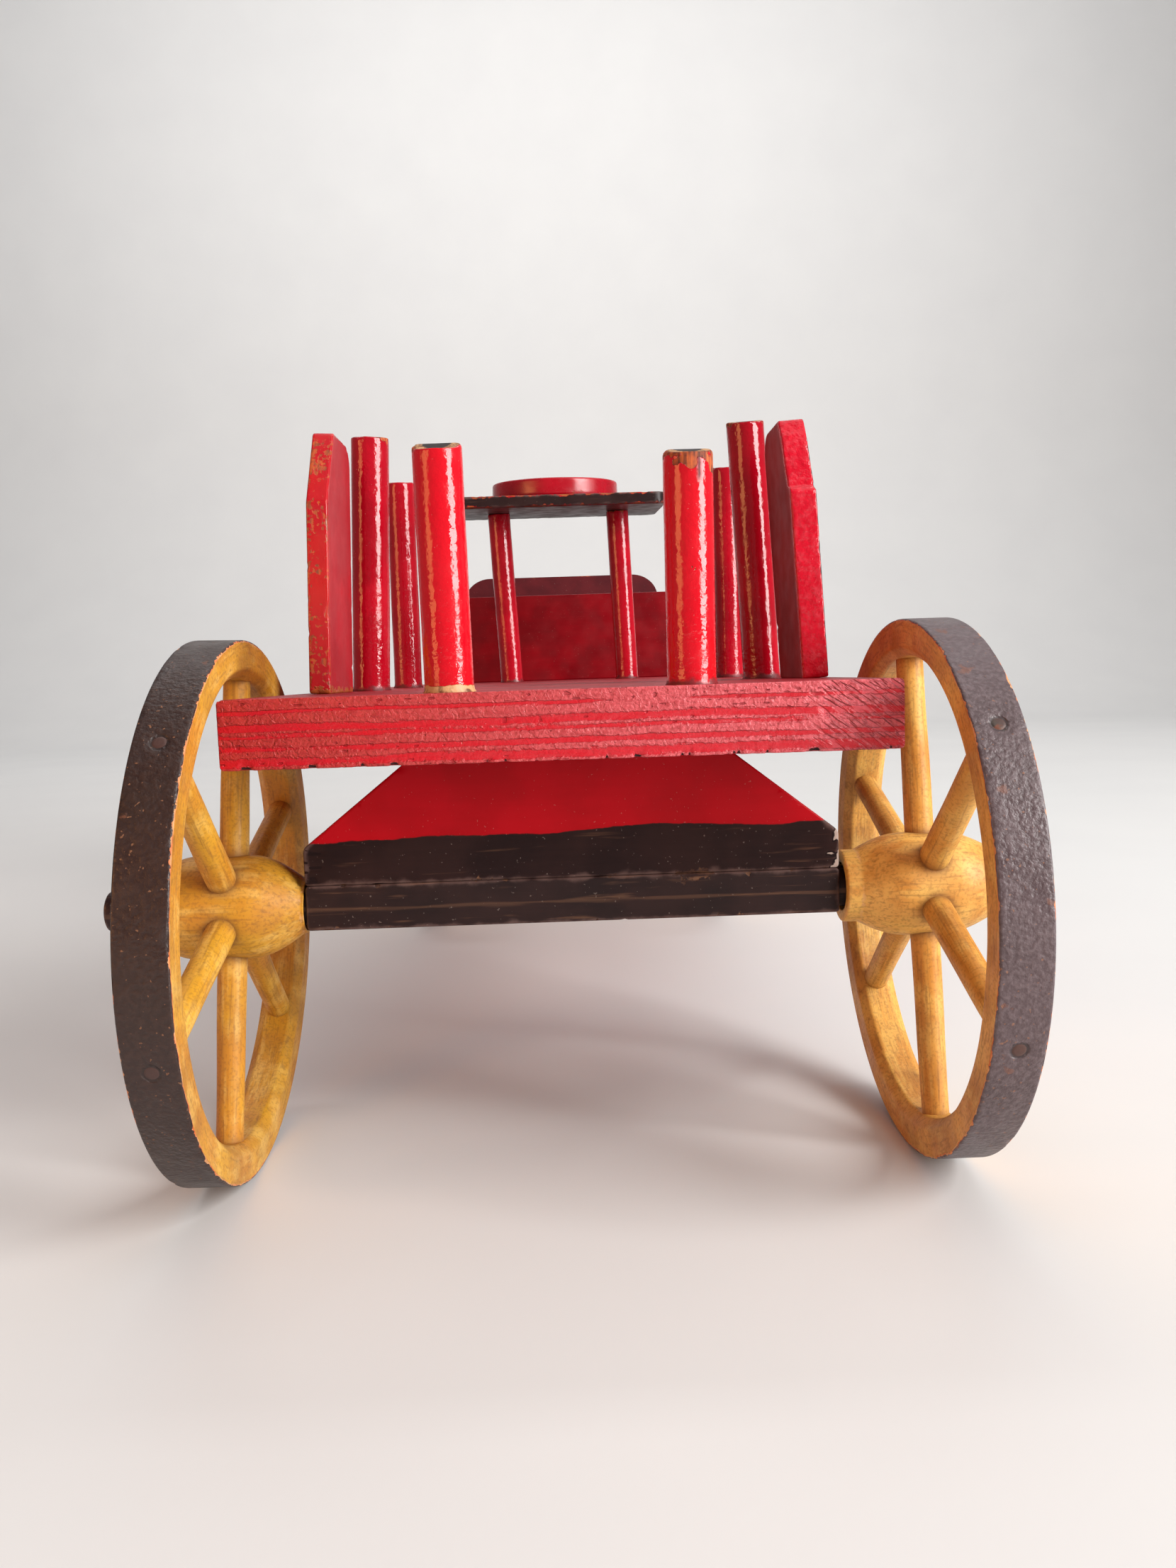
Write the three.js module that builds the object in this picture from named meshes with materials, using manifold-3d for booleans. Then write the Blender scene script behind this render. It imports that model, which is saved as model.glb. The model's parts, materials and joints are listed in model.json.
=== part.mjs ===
// A hand-made toy delivery wagon with a pull handle, as separate named pieces.
// Millimetres. +X is the wagon's right seen from behind, +Y its front, +Z up.
// Pieces are laid out from the bed's rear end on the floor, then centred as one group.
import * as THREE from 'three';
import { mergeVertices } from 'three/addons/utils/BufferGeometryUtils.js';
import Module from 'manifold-3d';

const wasm = await Module();
wasm.setup();

// ---------- Driving dimensions ----------
const GAP = 0.3;
const DOWEL_SIDES = 20;

const BED_WIDTH = 184.15;
const BED_LENGTH = 457.2;
const BED_THICKNESS = 19.05;
const DECK = 142.4;
const SOCKET_DEPTH = 12;
const BOARD = 6.35;

const REAR_AXLE_Y = 35;
const BEAM_DEPTH = 14;
const BEAM_HEIGHT = 13.4;
const BOLSTER_SHOULDER = 11;
const BOLSTER_TOP_HALF = 46.5;

const REAR_WHEEL = {
  radius: 79.7, tread: 13.5, rim: 11, chamfer: 2.6, spokes: 6, spokeAtHub: 4.65, spokeAtRim: 4.1,
  hubRadius: 15.6, hubLength: 49, bore: 7.3, arm: 6.1, facets: 40,
};
const FRONT_WHEEL = {
  radius: 52.5, tread: 11.5, rim: 9, chamfer: 2.2, spokes: 5, spokeAtHub: 3.7, spokeAtRim: 3.3,
  hubRadius: 12.5, hubLength: 40, bore: 5.8, arm: 5.2, facets: 32,
};
const REAR_BEAM_HALF = 79.2;
const REAR_BEAM_OFFSET = 1.3;
const REAR_ARM_TIP = 138;
const REAR_LINCHPIN = 133.6;
const FRONT_BEAM_HALF = 67;
const FRONT_ARM_TIP = 116;
const FRONT_LINCHPIN = 110;
const LINCHPIN_RADIUS = 1.5;
const TREAD_EDGE = 0.8;
const LEFT_WHEEL_LEAN = THREE.MathUtils.degToRad(1.2);
const LEFT_WHEEL_TOE = THREE.MathUtils.degToRad(1.2);

const KINGPIN_Y = 397;
const KINGPIN_RADIUS = 3;
const FRONT_BOLSTER_BASE = 98.6;
const TONGUE_REACH = 62;
const TONGUE_LENGTH = 340;
const TONGUE_WIDTH = 16;
const HOUND_WIDTH = 8;
const HOUND_HEIGHT = 9;
const TONGUE_PIN_RADIUS = 2.5;
const EYE_RADIUS = 11;
const GRIP_RADIUS = 6.35;
const GRIP_LENGTH = 96;

const BED_BOTTOM = DECK - BED_THICKNESS;
const REAR_AXLE_Z = REAR_WHEEL.radius;
const FRONT_AXLE_Z = FRONT_WHEEL.radius;
const HOUND_TOP = FRONT_AXLE_Z - BEAM_HEIGHT / 2 - GAP;
const TONGUE_PIVOT_Z = HOUND_TOP - HOUND_HEIGHT / 2;

// Upright pieces set in the deck. Lean is in degrees, positive towards +X at the top.
const POSTS = [
  { name: 'rear_post_left', x: -30.85, y: 10.5, radius: 6.9, height: 67.3, lean: -0.55 },
  { name: 'rear_post_right', x: 35.9, y: 10.5, radius: 6.9, height: 63.8, lean: 0.3 },
  { name: 'middle_stake_left', x: -70.9, y: 120, radius: 6.9, height: 91.7, lean: 2.5 },
  { name: 'middle_stake_right', x: 74.3, y: 120, radius: 6.9, height: 93.8, lean: -2.9 },
  { name: 'forward_stake_left', x: -69.5, y: 209, radius: 6.2, height: 90.3, lean: 0.3 },
  { name: 'forward_stake_right', x: 75.2, y: 209, radius: 6.2, height: 92.7, lean: -0.3 },
  { name: 'seat_post_left', x: -30.3, y: 366.5, radius: 6.5, height: 104, lean: -2.5 },
  { name: 'seat_post_right', x: 37.2, y: 366.5, radius: 6.5, height: 104, lean: -1.85 },
];
const SEAT = { x: 0, y: 364, width: 118, depth: 82, corner: 7, rise: 96.8, tilt: 3.3 };
const CUSHION = { x: -1.5, radius: 36, thickness: 10.3, edge: 1.2 };
const UPRIGHTS = [
  { name: 'side_upright_left', x: -78.5, lean: 2.1, thickness: 6.8, cutDown: 24 },
  { name: 'side_upright_right', x: 82.7, lean: -3.2, thickness: 8.4, cutDown: 22.4 },
];
const UPRIGHT = { rear: 66, depth: 40, height: 85, cutIn: 12, round: 8 };
const FRONT_BOARD = { y: 446, thickness: 7.5, width: 150, height: 55.4 };
const FOOTBOARD = { width: 132, corner: 17, top: 72, lean: 25 };

// ---------- Finishes ----------
function finish(color, roughness, metalness = 0) {
  return new THREE.MeshStandardMaterial({ color, roughness, metalness });
}

const RED = finish(0xb3141c, 0.3);
const BLACK = finish(0x2c1e1c, 0.4);
const YELLOW = finish(0xd9982e, 0.5);
const STEEL = finish(0x5d5650, 0.45, 1);

// ---------- Solid modelling helpers ----------
function toSolid(geometry) {
  const plain = geometry.index ? geometry.clone() : geometry;
  plain.deleteAttribute('normal');
  plain.deleteAttribute('uv');
  const welded = mergeVertices(plain, 1e-4);
  const mesh = new wasm.Mesh({
    numProp: 3,
    vertProperties: new Float32Array(welded.attributes.position.array),
    triVerts: new Uint32Array(welded.index.array),
  });
  return new wasm.Manifold(mesh);
}

function toGeometry(solid) {
  const mesh = solid.getMesh();
  const geometry = new THREE.BufferGeometry();
  geometry.setAttribute('position', new THREE.BufferAttribute(new Float32Array(mesh.vertProperties), 3));
  geometry.setIndex(new THREE.BufferAttribute(new Uint32Array(mesh.triVerts), 1));
  geometry.computeVertexNormals();
  return geometry;
}

function cut(geometry, cutters) {
  const remaining = cutters.reduce((solid, cutter) => solid.subtract(toSolid(cutter)), toSolid(geometry));
  return toGeometry(remaining);
}

function join(geometries) {
  const [first, ...others] = geometries.map(toSolid);
  return toGeometry(others.reduce((whole, solid) => whole.add(solid), first));
}

function piece(name, geometry, material) {
  const mesh = new THREE.Mesh(geometry, material);
  mesh.name = name;
  return mesh;
}

function outline(points) {
  return new THREE.Shape(points.map(([u, v]) => new THREE.Vector2(u, v)));
}

// A shape drawn in X and Z, extruded forward from y0.
function extrudeForward(shape, y0, depth) {
  const geometry = new THREE.ExtrudeGeometry(shape, { depth, bevelEnabled: false, curveSegments: 8 });
  return geometry.rotateX(Math.PI / 2).translate(0, y0 + depth, 0);
}

// A shape drawn in Y and Z, extruded across X about x = 0.
function extrudeAcross(shape, width, curveSegments = 10) {
  const geometry = new THREE.ExtrudeGeometry(shape, { depth: width, bevelEnabled: false, curveSegments });
  return geometry.translate(0, 0, -width / 2).rotateY(Math.PI / 2).rotateX(Math.PI / 2);
}

// A solid of revolution standing along Z; the profile is radius and height.
function turned(profile, facets = DOWEL_SIDES) {
  const points = profile.map(([r, h]) => new THREE.Vector2(r, h));
  return new THREE.LatheGeometry(points, facets).rotateX(Math.PI / 2);
}

function cylinderZ(radius, z0, z1, facets = DOWEL_SIDES) {
  const geometry = new THREE.CylinderGeometry(radius, radius, z1 - z0, facets);
  return geometry.rotateX(Math.PI / 2).translate(0, 0, (z0 + z1) / 2);
}

function cylinderX(radius, x0, x1, facets = DOWEL_SIDES) {
  const geometry = new THREE.CylinderGeometry(radius, radius, x1 - x0, facets);
  return geometry.rotateZ(-Math.PI / 2).translate((x0 + x1) / 2, 0, 0);
}

function box(x0, x1, y0, y1, z0, z1) {
  const geometry = new THREE.BoxGeometry(x1 - x0, y1 - y0, z1 - z0);
  return geometry.translate((x0 + x1) / 2, (y0 + y1) / 2, (z0 + z1) / 2);
}

// ---------- Bed, posts and boards ----------
function deckPlace(post) {
  const lean = new THREE.Matrix4().makeRotationY(THREE.MathUtils.degToRad(post.lean));
  return new THREE.Matrix4().makeTranslation(post.x, post.y, DECK).multiply(lean);
}

function seatPlace() {
  const tilt = new THREE.Matrix4().makeRotationX(THREE.MathUtils.degToRad(SEAT.tilt));
  return new THREE.Matrix4().makeTranslation(SEAT.x, SEAT.y, DECK + SEAT.rise).multiply(tilt);
}

function socketCutter(post) {
  return cylinderZ(post.radius + GAP, -SOCKET_DEPTH - GAP, SOCKET_DEPTH).applyMatrix4(deckPlace(post));
}

function makeBed() {
  const half = BED_WIDTH / 2;
  const ease = 0.8;
  const section = outline([
    [-half + ease, BED_BOTTOM], [half - ease, BED_BOTTOM], [half, BED_BOTTOM + ease], [half, DECK - ease],
    [half - ease, DECK], [-half + ease, DECK], [-half, DECK - ease], [-half, BED_BOTTOM + ease],
  ]);
  const plank = extrudeForward(section, 0, BED_LENGTH);
  const kingpinHole = cylinderZ(KINGPIN_RADIUS + GAP, BED_BOTTOM - 1, BED_BOTTOM + SOCKET_DEPTH + GAP);
  const cutters = [...POSTS.map(socketCutter), kingpinHole.translate(0, KINGPIN_Y, 0)];
  return piece('bed', cut(plank, cutters), RED);
}

function makePost(post) {
  const worn = 0.7;
  const { radius, height } = post;
  const profile = [
    [0, -SOCKET_DEPTH], [radius, -SOCKET_DEPTH], [radius, height - worn], [radius - worn, height], [0, height],
  ];
  const geometry = turned(profile).applyMatrix4(deckPlace(post));
  return piece(post.name, post.name.startsWith('seat') ? trimToSeat(geometry) : geometry, RED);
}

// Saws a seat post off flush with the tilted underside of the seat board.
function trimToSeat(geometry) {
  const above = box(-SEAT.width, SEAT.width, -SEAT.depth, SEAT.depth, -GAP, 40);
  return cut(geometry, [above.applyMatrix4(seatPlace())]);
}

function makeUpright({ name, x, lean, thickness, cutDown }) {
  const { rear, depth, height, cutIn, round } = UPRIGHT;
  const shape = new THREE.Shape();
  shape.moveTo(0, GAP);
  shape.lineTo(depth, GAP);
  shape.lineTo(depth, height - round);
  shape.absarc(depth - round, height - round, round, 0, Math.PI / 2);
  shape.lineTo(cutIn, height);
  shape.lineTo(0, height - cutDown);
  shape.closePath();
  const mesh = piece(name, extrudeAcross(shape, thickness, 6), RED);
  mesh.position.set(x, rear, DECK);
  mesh.rotation.y = THREE.MathUtils.degToRad(lean);
  return mesh;
}

function roundedRectangle(width, depth, corner) {
  const shape = new THREE.Shape();
  const w = width / 2;
  const d = depth / 2;
  shape.moveTo(-w + corner, -d);
  shape.lineTo(w - corner, -d);
  shape.absarc(w - corner, -d + corner, corner, -Math.PI / 2, 0);
  shape.lineTo(w, d - corner);
  shape.absarc(w - corner, d - corner, corner, 0, Math.PI / 2);
  shape.lineTo(-w + corner, d);
  shape.absarc(-w + corner, d - corner, corner, Math.PI / 2, Math.PI);
  shape.lineTo(-w, -d + corner);
  shape.absarc(-w + corner, -d + corner, corner, Math.PI, Math.PI * 1.5);
  return shape;
}

function makeSeat() {
  const shape = roundedRectangle(SEAT.width, SEAT.depth, SEAT.corner);
  const geometry = new THREE.ExtrudeGeometry(shape, { depth: BOARD, bevelEnabled: false, curveSegments: 5 });
  return piece('seat_board', geometry.applyMatrix4(seatPlace()), BLACK);
}

function makeCushion() {
  const { x, radius, thickness, edge } = CUSHION;
  const base = BOARD + GAP;
  const top = base + thickness;
  const profile = [[0, base], [radius, base], [radius, top - edge], [radius - edge, top], [0, top]];
  const geometry = turned(profile, 36).translate(x - SEAT.x, 0, 0);
  return piece('seat_cushion', geometry.applyMatrix4(seatPlace()), RED);
}

function makeFrontBoard() {
  const { y, thickness, width, height } = FRONT_BOARD;
  const geometry = box(-width / 2, width / 2, y, y + thickness, DECK + GAP, DECK + height);
  return piece('front_board', geometry, RED);
}

// Leans forward from the bed's front end; its foot is bevelled to bear flat on that end.
function makeFootboard() {
  const { width, corner, top, lean } = FOOTBOARD;
  const angle = THREE.MathUtils.degToRad(lean);
  const below = 30;
  const length = top / Math.cos(angle);
  const shape = new THREE.Shape();
  shape.moveTo(-width / 2, -below);
  shape.lineTo(width / 2, -below);
  shape.lineTo(width / 2, length - corner);
  shape.absarc(width / 2 - corner, length - corner, corner, 0, Math.PI / 2);
  shape.lineTo(-width / 2 + corner, length);
  shape.absarc(-width / 2 + corner, length - corner, corner, Math.PI / 2, Math.PI);
  const board = extrudeForward(shape, 0, BOARD).rotateX(-angle).translate(0, BED_LENGTH + GAP, DECK - 1);
  const behind = box(-width, width, 0, BED_LENGTH + GAP, 0, DECK);
  return piece('footboard', cut(board, [behind]), RED);
}

// ---------- Running gear ----------
function bolsterShape(baseHalf, topHalf, base, shoulder, top) {
  return outline([
    [-baseHalf, base], [baseHalf, base], [baseHalf, base + shoulder],
    [topHalf, top], [-topHalf, top], [-baseHalf, base + shoulder],
  ]);
}

function makeRearBolster() {
  const base = REAR_AXLE_Z + BEAM_HEIGHT / 2 + GAP;
  const top = BED_BOTTOM - GAP;
  const shape = bolsterShape(REAR_BEAM_HALF, BOLSTER_TOP_HALF, base, BOLSTER_SHOULDER, top);
  const geometry = extrudeForward(shape, REAR_AXLE_Y - BEAM_DEPTH / 2, BEAM_DEPTH);
  return piece('rear_bolster', geometry.translate(REAR_BEAM_OFFSET, 0, 0), RED);
}

// A beam from x0 to x1 with a round arm out to the tip at each end.
function axleGeometry({ x0, x1, tip, arm, linchpin }) {
  const beam = box(x0, x1, -BEAM_DEPTH / 2, BEAM_DEPTH / 2, -BEAM_HEIGHT / 2, BEAM_HEIGHT / 2);
  const round = 1.2;
  const profile = [
    [0, -tip], [arm - round, -tip], [arm, -tip + round], [arm, tip - round], [arm - round, tip], [0, tip],
  ];
  const arms = turned(profile).rotateY(Math.PI / 2);
  const holes = [-1, 1].map((side) => {
    return cylinderZ(LINCHPIN_RADIUS + GAP, -arm - 2, arm + 2, 12).translate(side * linchpin, 0, 0);
  });
  return cut(join([beam, arms]), holes);
}

function makeRearAxle() {
  const geometry = axleGeometry({
    x0: REAR_BEAM_OFFSET - REAR_BEAM_HALF,
    x1: REAR_BEAM_OFFSET + REAR_BEAM_HALF,
    tip: REAR_ARM_TIP,
    arm: REAR_WHEEL.arm,
    linchpin: REAR_LINCHPIN,
  });
  const mesh = piece('rear_axle', geometry, BLACK);
  mesh.position.set(0, REAR_AXLE_Y, REAR_AXLE_Z);
  return mesh;
}

function makeLinchpin(name, x, y, z, arm) {
  const mesh = piece(name, cylinderZ(LINCHPIN_RADIUS, -arm - 4, arm + 5, 12), STEEL);
  mesh.position.set(x, y, z);
  return mesh;
}

function makeFrontAxle() {
  const bore = cylinderZ(KINGPIN_RADIUS + GAP, -BEAM_HEIGHT, BEAM_HEIGHT);
  const whole = axleGeometry({
    x0: -FRONT_BEAM_HALF,
    x1: FRONT_BEAM_HALF,
    tip: FRONT_ARM_TIP,
    arm: FRONT_WHEEL.arm,
    linchpin: FRONT_LINCHPIN,
  });
  const mesh = piece('front_axle', cut(whole, [bore]), BLACK);
  mesh.position.set(0, KINGPIN_Y, FRONT_AXLE_Z);
  return mesh;
}

function blockOnKingpin(name, shape, depth, material) {
  const block = extrudeForward(shape, -depth / 2, depth);
  const bore = cylinderZ(KINGPIN_RADIUS + GAP, 0, DECK);
  const mesh = piece(name, cut(block, [bore]), material);
  mesh.position.y = KINGPIN_Y;
  return mesh;
}

function makePivotBlock() {
  const base = FRONT_AXLE_Z + BEAM_HEIGHT / 2 + GAP;
  return blockOnKingpin('pivot_block', bolsterShape(55, 30, base, 9, FRONT_BOLSTER_BASE - GAP), 22, BLACK);
}

function makeFrontBolster() {
  const shape = bolsterShape(34, BOLSTER_TOP_HALF, FRONT_BOLSTER_BASE, 6, BED_BOTTOM - GAP);
  return blockOnKingpin('front_bolster', shape, 25, RED);
}

// A round-head screw driven up into the bed, on which the front gear turns.
function makeKingpin() {
  const headTop = HOUND_TOP;
  const head = 6.5;
  const profile = [
    [0, headTop - 4], [head - 2, headTop - 4], [head, headTop - 1.6], [head, headTop],
    [KINGPIN_RADIUS, headTop], [KINGPIN_RADIUS, BED_BOTTOM + SOCKET_DEPTH], [0, BED_BOTTOM + SOCKET_DEPTH],
  ];
  return piece('kingpin', turned(profile).translate(0, KINGPIN_Y, 0), STEEL);
}

function makeHound(name, side) {
  const half = HOUND_HEIGHT / 2;
  const shape = new THREE.Shape();
  shape.moveTo(-TONGUE_REACH - 18, -half);
  shape.lineTo(0, -half);
  shape.absarc(0, 0, half, -Math.PI / 2, Math.PI / 2);
  shape.lineTo(-TONGUE_REACH - 18, half);
  shape.holes.push(new THREE.Path().absarc(0, 0, TONGUE_PIN_RADIUS + GAP, 0, Math.PI * 2, true));
  const mesh = piece(name, extrudeAcross(shape, HOUND_WIDTH), BLACK);
  const x = side * (TONGUE_WIDTH / 2 + GAP + HOUND_WIDTH / 2);
  mesh.position.set(x, KINGPIN_Y + TONGUE_REACH, TONGUE_PIVOT_Z);
  return mesh;
}

function makeTonguePin() {
  const half = TONGUE_WIDTH / 2 + HOUND_WIDTH + 3;
  const mesh = piece('tongue_pin', cylinderX(TONGUE_PIN_RADIUS, -half, half, 16), STEEL);
  mesh.position.set(0, KINGPIN_Y + TONGUE_REACH, TONGUE_PIVOT_Z);
  return mesh;
}

// The tongue's outline: a round knuckle, a straight bar and a round eye for the grip.
function makeTongue() {
  const knuckle = 7;
  const bar = 5.5;
  const knuckleAngle = Math.asin(bar / knuckle);
  const eyeAngle = Math.PI - Math.asin(bar / EYE_RADIUS);
  const shape = new THREE.Shape();
  shape.absarc(0, 0, knuckle, knuckleAngle, Math.PI * 2 - knuckleAngle);
  shape.absarc(TONGUE_LENGTH, 0, EYE_RADIUS, -eyeAngle, eyeAngle);
  shape.closePath();
  shape.holes.push(new THREE.Path().absarc(0, 0, TONGUE_PIN_RADIUS + GAP, 0, Math.PI * 2, true));
  shape.holes.push(new THREE.Path().absarc(TONGUE_LENGTH, 0, GRIP_RADIUS + GAP, 0, Math.PI * 2, true));
  return piece('tongue', extrudeAcross(shape, TONGUE_WIDTH, 14), RED);
}

function makeGrip() {
  const half = GRIP_LENGTH / 2;
  const round = 1.5;
  const r = GRIP_RADIUS;
  const profile = [
    [0, -half], [r - round, -half], [r, -half + round], [r, half - round], [r - round, half], [0, half],
  ];
  return piece('handle_grip', turned(profile).rotateY(Math.PI / 2).translate(0, TONGUE_LENGTH, 0), BLACK);
}

// The tongue and grip hang from the pin; at rest the eye lies on the floor.
function makeHandle() {
  const handle = new THREE.Group();
  handle.add(makeTongue(), makeGrip());
  handle.position.set(0, KINGPIN_Y + TONGUE_REACH, TONGUE_PIVOT_Z);
  handle.rotation.x = -Math.asin((TONGUE_PIVOT_Z - EYE_RADIUS) / TONGUE_LENGTH);
  return handle;
}

// ---------- Wheels ----------
function spokeSpan(wheel) {
  return { from: wheel.hubRadius - 5, to: wheel.radius - 3.5 };
}

// A spoke along +Y, or with extra > 0 the mortise that takes it.
function spokeGeometry(wheel, extra) {
  const { from, to } = spokeSpan(wheel);
  const length = to - from + 2 * extra;
  const sides = 12;
  const geometry = new THREE.CylinderGeometry(wheel.spokeAtRim + extra, wheel.spokeAtHub + extra, length, sides);
  return geometry.translate(0, (from + to) / 2, 0);
}

// The first spoke stands up, leaning forward by the wheel's turn.
function spokeAngles({ wheel, turn }) {
  const first = Math.PI / 2 - THREE.MathUtils.degToRad(turn);
  return Array.from({ length: wheel.spokes }, (_, i) => first + (i * 2 * Math.PI) / wheel.spokes);
}

function mortises(place) {
  return spokeAngles(place).map((angle) => spokeGeometry(place.wheel, GAP).rotateX(angle));
}

function rimGeometry(place) {
  const { wheel } = place;
  const half = wheel.tread / 2;
  const { radius: outer, chamfer } = wheel;
  const inner = outer - wheel.rim;
  const edge = outer - TREAD_EDGE;
  const profile = [
    [inner, -half + chamfer], [inner + chamfer, -half], [edge, -half], [outer, -half + TREAD_EDGE],
    [outer, half - TREAD_EDGE], [edge, half], [inner + chamfer, half], [inner, half - chamfer],
    [inner, -half + chamfer],
  ];
  return cut(turned(profile, wheel.facets).rotateY(Math.PI / 2), mortises(place));
}

// The barrel swells smoothly from a short neck at each end to the spokes.
function hubGeometry(place) {
  const { wheel, side, hub } = place;
  const { neck, neckLength, swellLength, inboard } = hub;
  const outboard = wheel.hubLength - inboard;
  const swell = (start, direction) => [0, 1, 2, 3].map((k) => {
    const t = k / 3;
    const radius = neck + (wheel.hubRadius - neck) * Math.sin((t * Math.PI) / 2);
    return [radius, start + direction * t * swellLength];
  });
  const inner = swell(-inboard + neckLength, 1);
  const outer = swell(outboard - neckLength, -1).reverse();
  const profile = [
    [wheel.bore, -inboard], [neck, -inboard], ...inner, ...outer, [neck, outboard],
    [wheel.bore, outboard], [wheel.bore, -inboard],
  ];
  return cut(turned(profile).rotateY((side * Math.PI) / 2), mortises(place));
}

function makeWheel(place) {
  const { name, wheel, side, x, y, lean, toe } = place;
  const group = new THREE.Group();
  group.add(piece(`${name}_rim`, rimGeometry(place), YELLOW));
  group.add(piece(`${name}_hub`, hubGeometry(place), YELLOW));
  spokeAngles(place).forEach((angle, i) => {
    const spoke = piece(`${name}_spoke_${i + 1}`, spokeGeometry(wheel, 0), YELLOW);
    spoke.rotation.x = angle;
    group.add(spoke);
  });
  const centreHeight = wheel.radius * Math.cos(lean) + (wheel.tread / 2 - TREAD_EDGE) * Math.sin(lean);
  group.position.set(side * x, y, centreHeight);
  group.rotation.y = lean;
  group.rotation.z = toe;
  return group;
}

const LEFT_HUB = { neck: 8.2, neckLength: 0.8, swellLength: 16, inboard: 22.5 };
const RIGHT_HUB = { neck: 11, neckLength: 4.5, swellLength: 14, inboard: 25.1 };
const FRONT_HUB = { neck: 8.6, neckLength: 4, swellLength: 11, inboard: 18.5 };
const REAR_PAIR = { wheel: REAR_WHEEL, y: REAR_AXLE_Y };
const FRONT_PAIR = { wheel: FRONT_WHEEL, x: 86, y: KINGPIN_Y, lean: 0, toe: 0, turn: 0, hub: FRONT_HUB };
const LEFT_TILT = { lean: LEFT_WHEEL_LEAN, toe: LEFT_WHEEL_TOE };
const WHEELS = [
  { ...REAR_PAIR, ...LEFT_TILT, name: 'rear_left', side: -1, x: 101.25, turn: 12, hub: LEFT_HUB },
  { ...REAR_PAIR, name: 'rear_right', side: 1, x: 107.4, lean: 0, toe: 0, turn: 10, hub: RIGHT_HUB },
  { ...FRONT_PAIR, name: 'front_left', side: -1 },
  { ...FRONT_PAIR, name: 'front_right', side: 1 },
];

function makeLinchpins() {
  return WHEELS.map(({ name, wheel, side, y }) => {
    const x = side * (wheel === REAR_WHEEL ? REAR_LINCHPIN : FRONT_LINCHPIN);
    return makeLinchpin(`${name}_linchpin`, x, y, wheel.radius, wheel.arm);
  });
}

// ---------- The whole wagon ----------
const wagon = new THREE.Group();
wagon.add(makeBed(), ...POSTS.map(makePost), ...UPRIGHTS.map(makeUpright));
wagon.add(makeSeat(), makeCushion(), makeFrontBoard(), makeFootboard());
wagon.add(makeRearBolster(), makeRearAxle());
wagon.add(makeFrontBolster(), makePivotBlock(), makeFrontAxle(), makeKingpin());
wagon.add(makeHound('hound_left', -1), makeHound('hound_right', 1), makeTonguePin(), makeHandle());
wagon.add(...WHEELS.map(makeWheel), ...makeLinchpins());

// Puts the origin under the middle of the wagon's bounding box, on the floor.
const bounds = new THREE.Box3().setFromObject(wagon, true);
wagon.position.set(0, -(bounds.min.y + bounds.max.y) / 2, -bounds.min.z);

export default wagon;
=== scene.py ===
"""Looks of a hand-made toy delivery wagon: worn wooden pieces, their paint, a floor, light and a camera."""

import json
import math
from dataclasses import dataclass

import bmesh
import bpy
import numpy as np
from mathutils import Matrix, Vector, noise
from mathutils.geometry import delaunay_2d_cdt


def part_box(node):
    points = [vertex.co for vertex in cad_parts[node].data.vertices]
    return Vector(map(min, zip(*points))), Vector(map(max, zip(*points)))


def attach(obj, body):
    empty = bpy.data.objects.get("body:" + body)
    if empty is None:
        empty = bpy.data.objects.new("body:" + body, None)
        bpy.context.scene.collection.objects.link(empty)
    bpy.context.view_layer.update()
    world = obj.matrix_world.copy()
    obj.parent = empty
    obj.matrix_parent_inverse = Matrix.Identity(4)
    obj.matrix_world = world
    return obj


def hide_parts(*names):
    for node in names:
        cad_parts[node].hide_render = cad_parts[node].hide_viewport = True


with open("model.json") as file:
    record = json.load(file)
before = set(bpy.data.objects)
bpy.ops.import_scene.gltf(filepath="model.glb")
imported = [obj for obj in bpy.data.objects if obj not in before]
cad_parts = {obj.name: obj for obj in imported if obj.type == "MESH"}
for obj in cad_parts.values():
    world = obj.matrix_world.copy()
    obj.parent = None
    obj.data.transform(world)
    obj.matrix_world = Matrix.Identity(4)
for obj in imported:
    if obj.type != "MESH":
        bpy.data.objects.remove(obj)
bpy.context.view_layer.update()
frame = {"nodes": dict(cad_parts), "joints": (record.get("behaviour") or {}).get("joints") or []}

# ---------- Sizes, in metres ----------
ARRIS = 0.0006
FACE_STEP = 0.0012
EDGE_FADE = 0.0020
CHIP_DEPTH = 0.00035
SHARP_TURN = math.radians(25)

REAR_WHEEL = {
    "radius": 0.0797, "tread": 0.0135, "rim": 0.011, "chamfer": 0.0026, "spokes": 6,
    "at_hub": 0.00465, "at_rim": 0.0041, "hub": 0.0156, "length": 0.049, "bore": 0.0073, "segments": 420,
}
FRONT_WHEEL = {
    "radius": 0.0525, "tread": 0.0115, "rim": 0.009, "chamfer": 0.0022, "spokes": 5,
    "at_hub": 0.0037, "at_rim": 0.0033, "hub": 0.0125, "length": 0.040, "bore": 0.0058, "segments": 280,
}
LEFT_HUB = {"neck": 0.0082, "neck_length": 0.0008, "swell": 0.016, "inboard": 0.0225}
RIGHT_HUB = {"neck": 0.0110, "neck_length": 0.0045, "swell": 0.014, "inboard": 0.0251}
FRONT_HUB = {"neck": 0.0086, "neck_length": 0.0040, "swell": 0.011, "inboard": 0.0185}
WHEELS = {
    "rear_left": {"kind": REAR_WHEEL, "side": -1, "turn": 12, "hub": LEFT_HUB},
    "rear_right": {"kind": REAR_WHEEL, "side": 1, "turn": 10, "hub": RIGHT_HUB},
    "front_left": {"kind": FRONT_WHEEL, "side": -1, "turn": 0, "hub": FRONT_HUB},
    "front_right": {"kind": FRONT_WHEEL, "side": 1, "turn": 0, "hub": FRONT_HUB},
}
NAIL_RADIUS = 0.0023
RIM_INSET = 0.000005
ARM_RADIUS = {"rear_axle": 0.0061, "front_axle": 0.0052}
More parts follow.
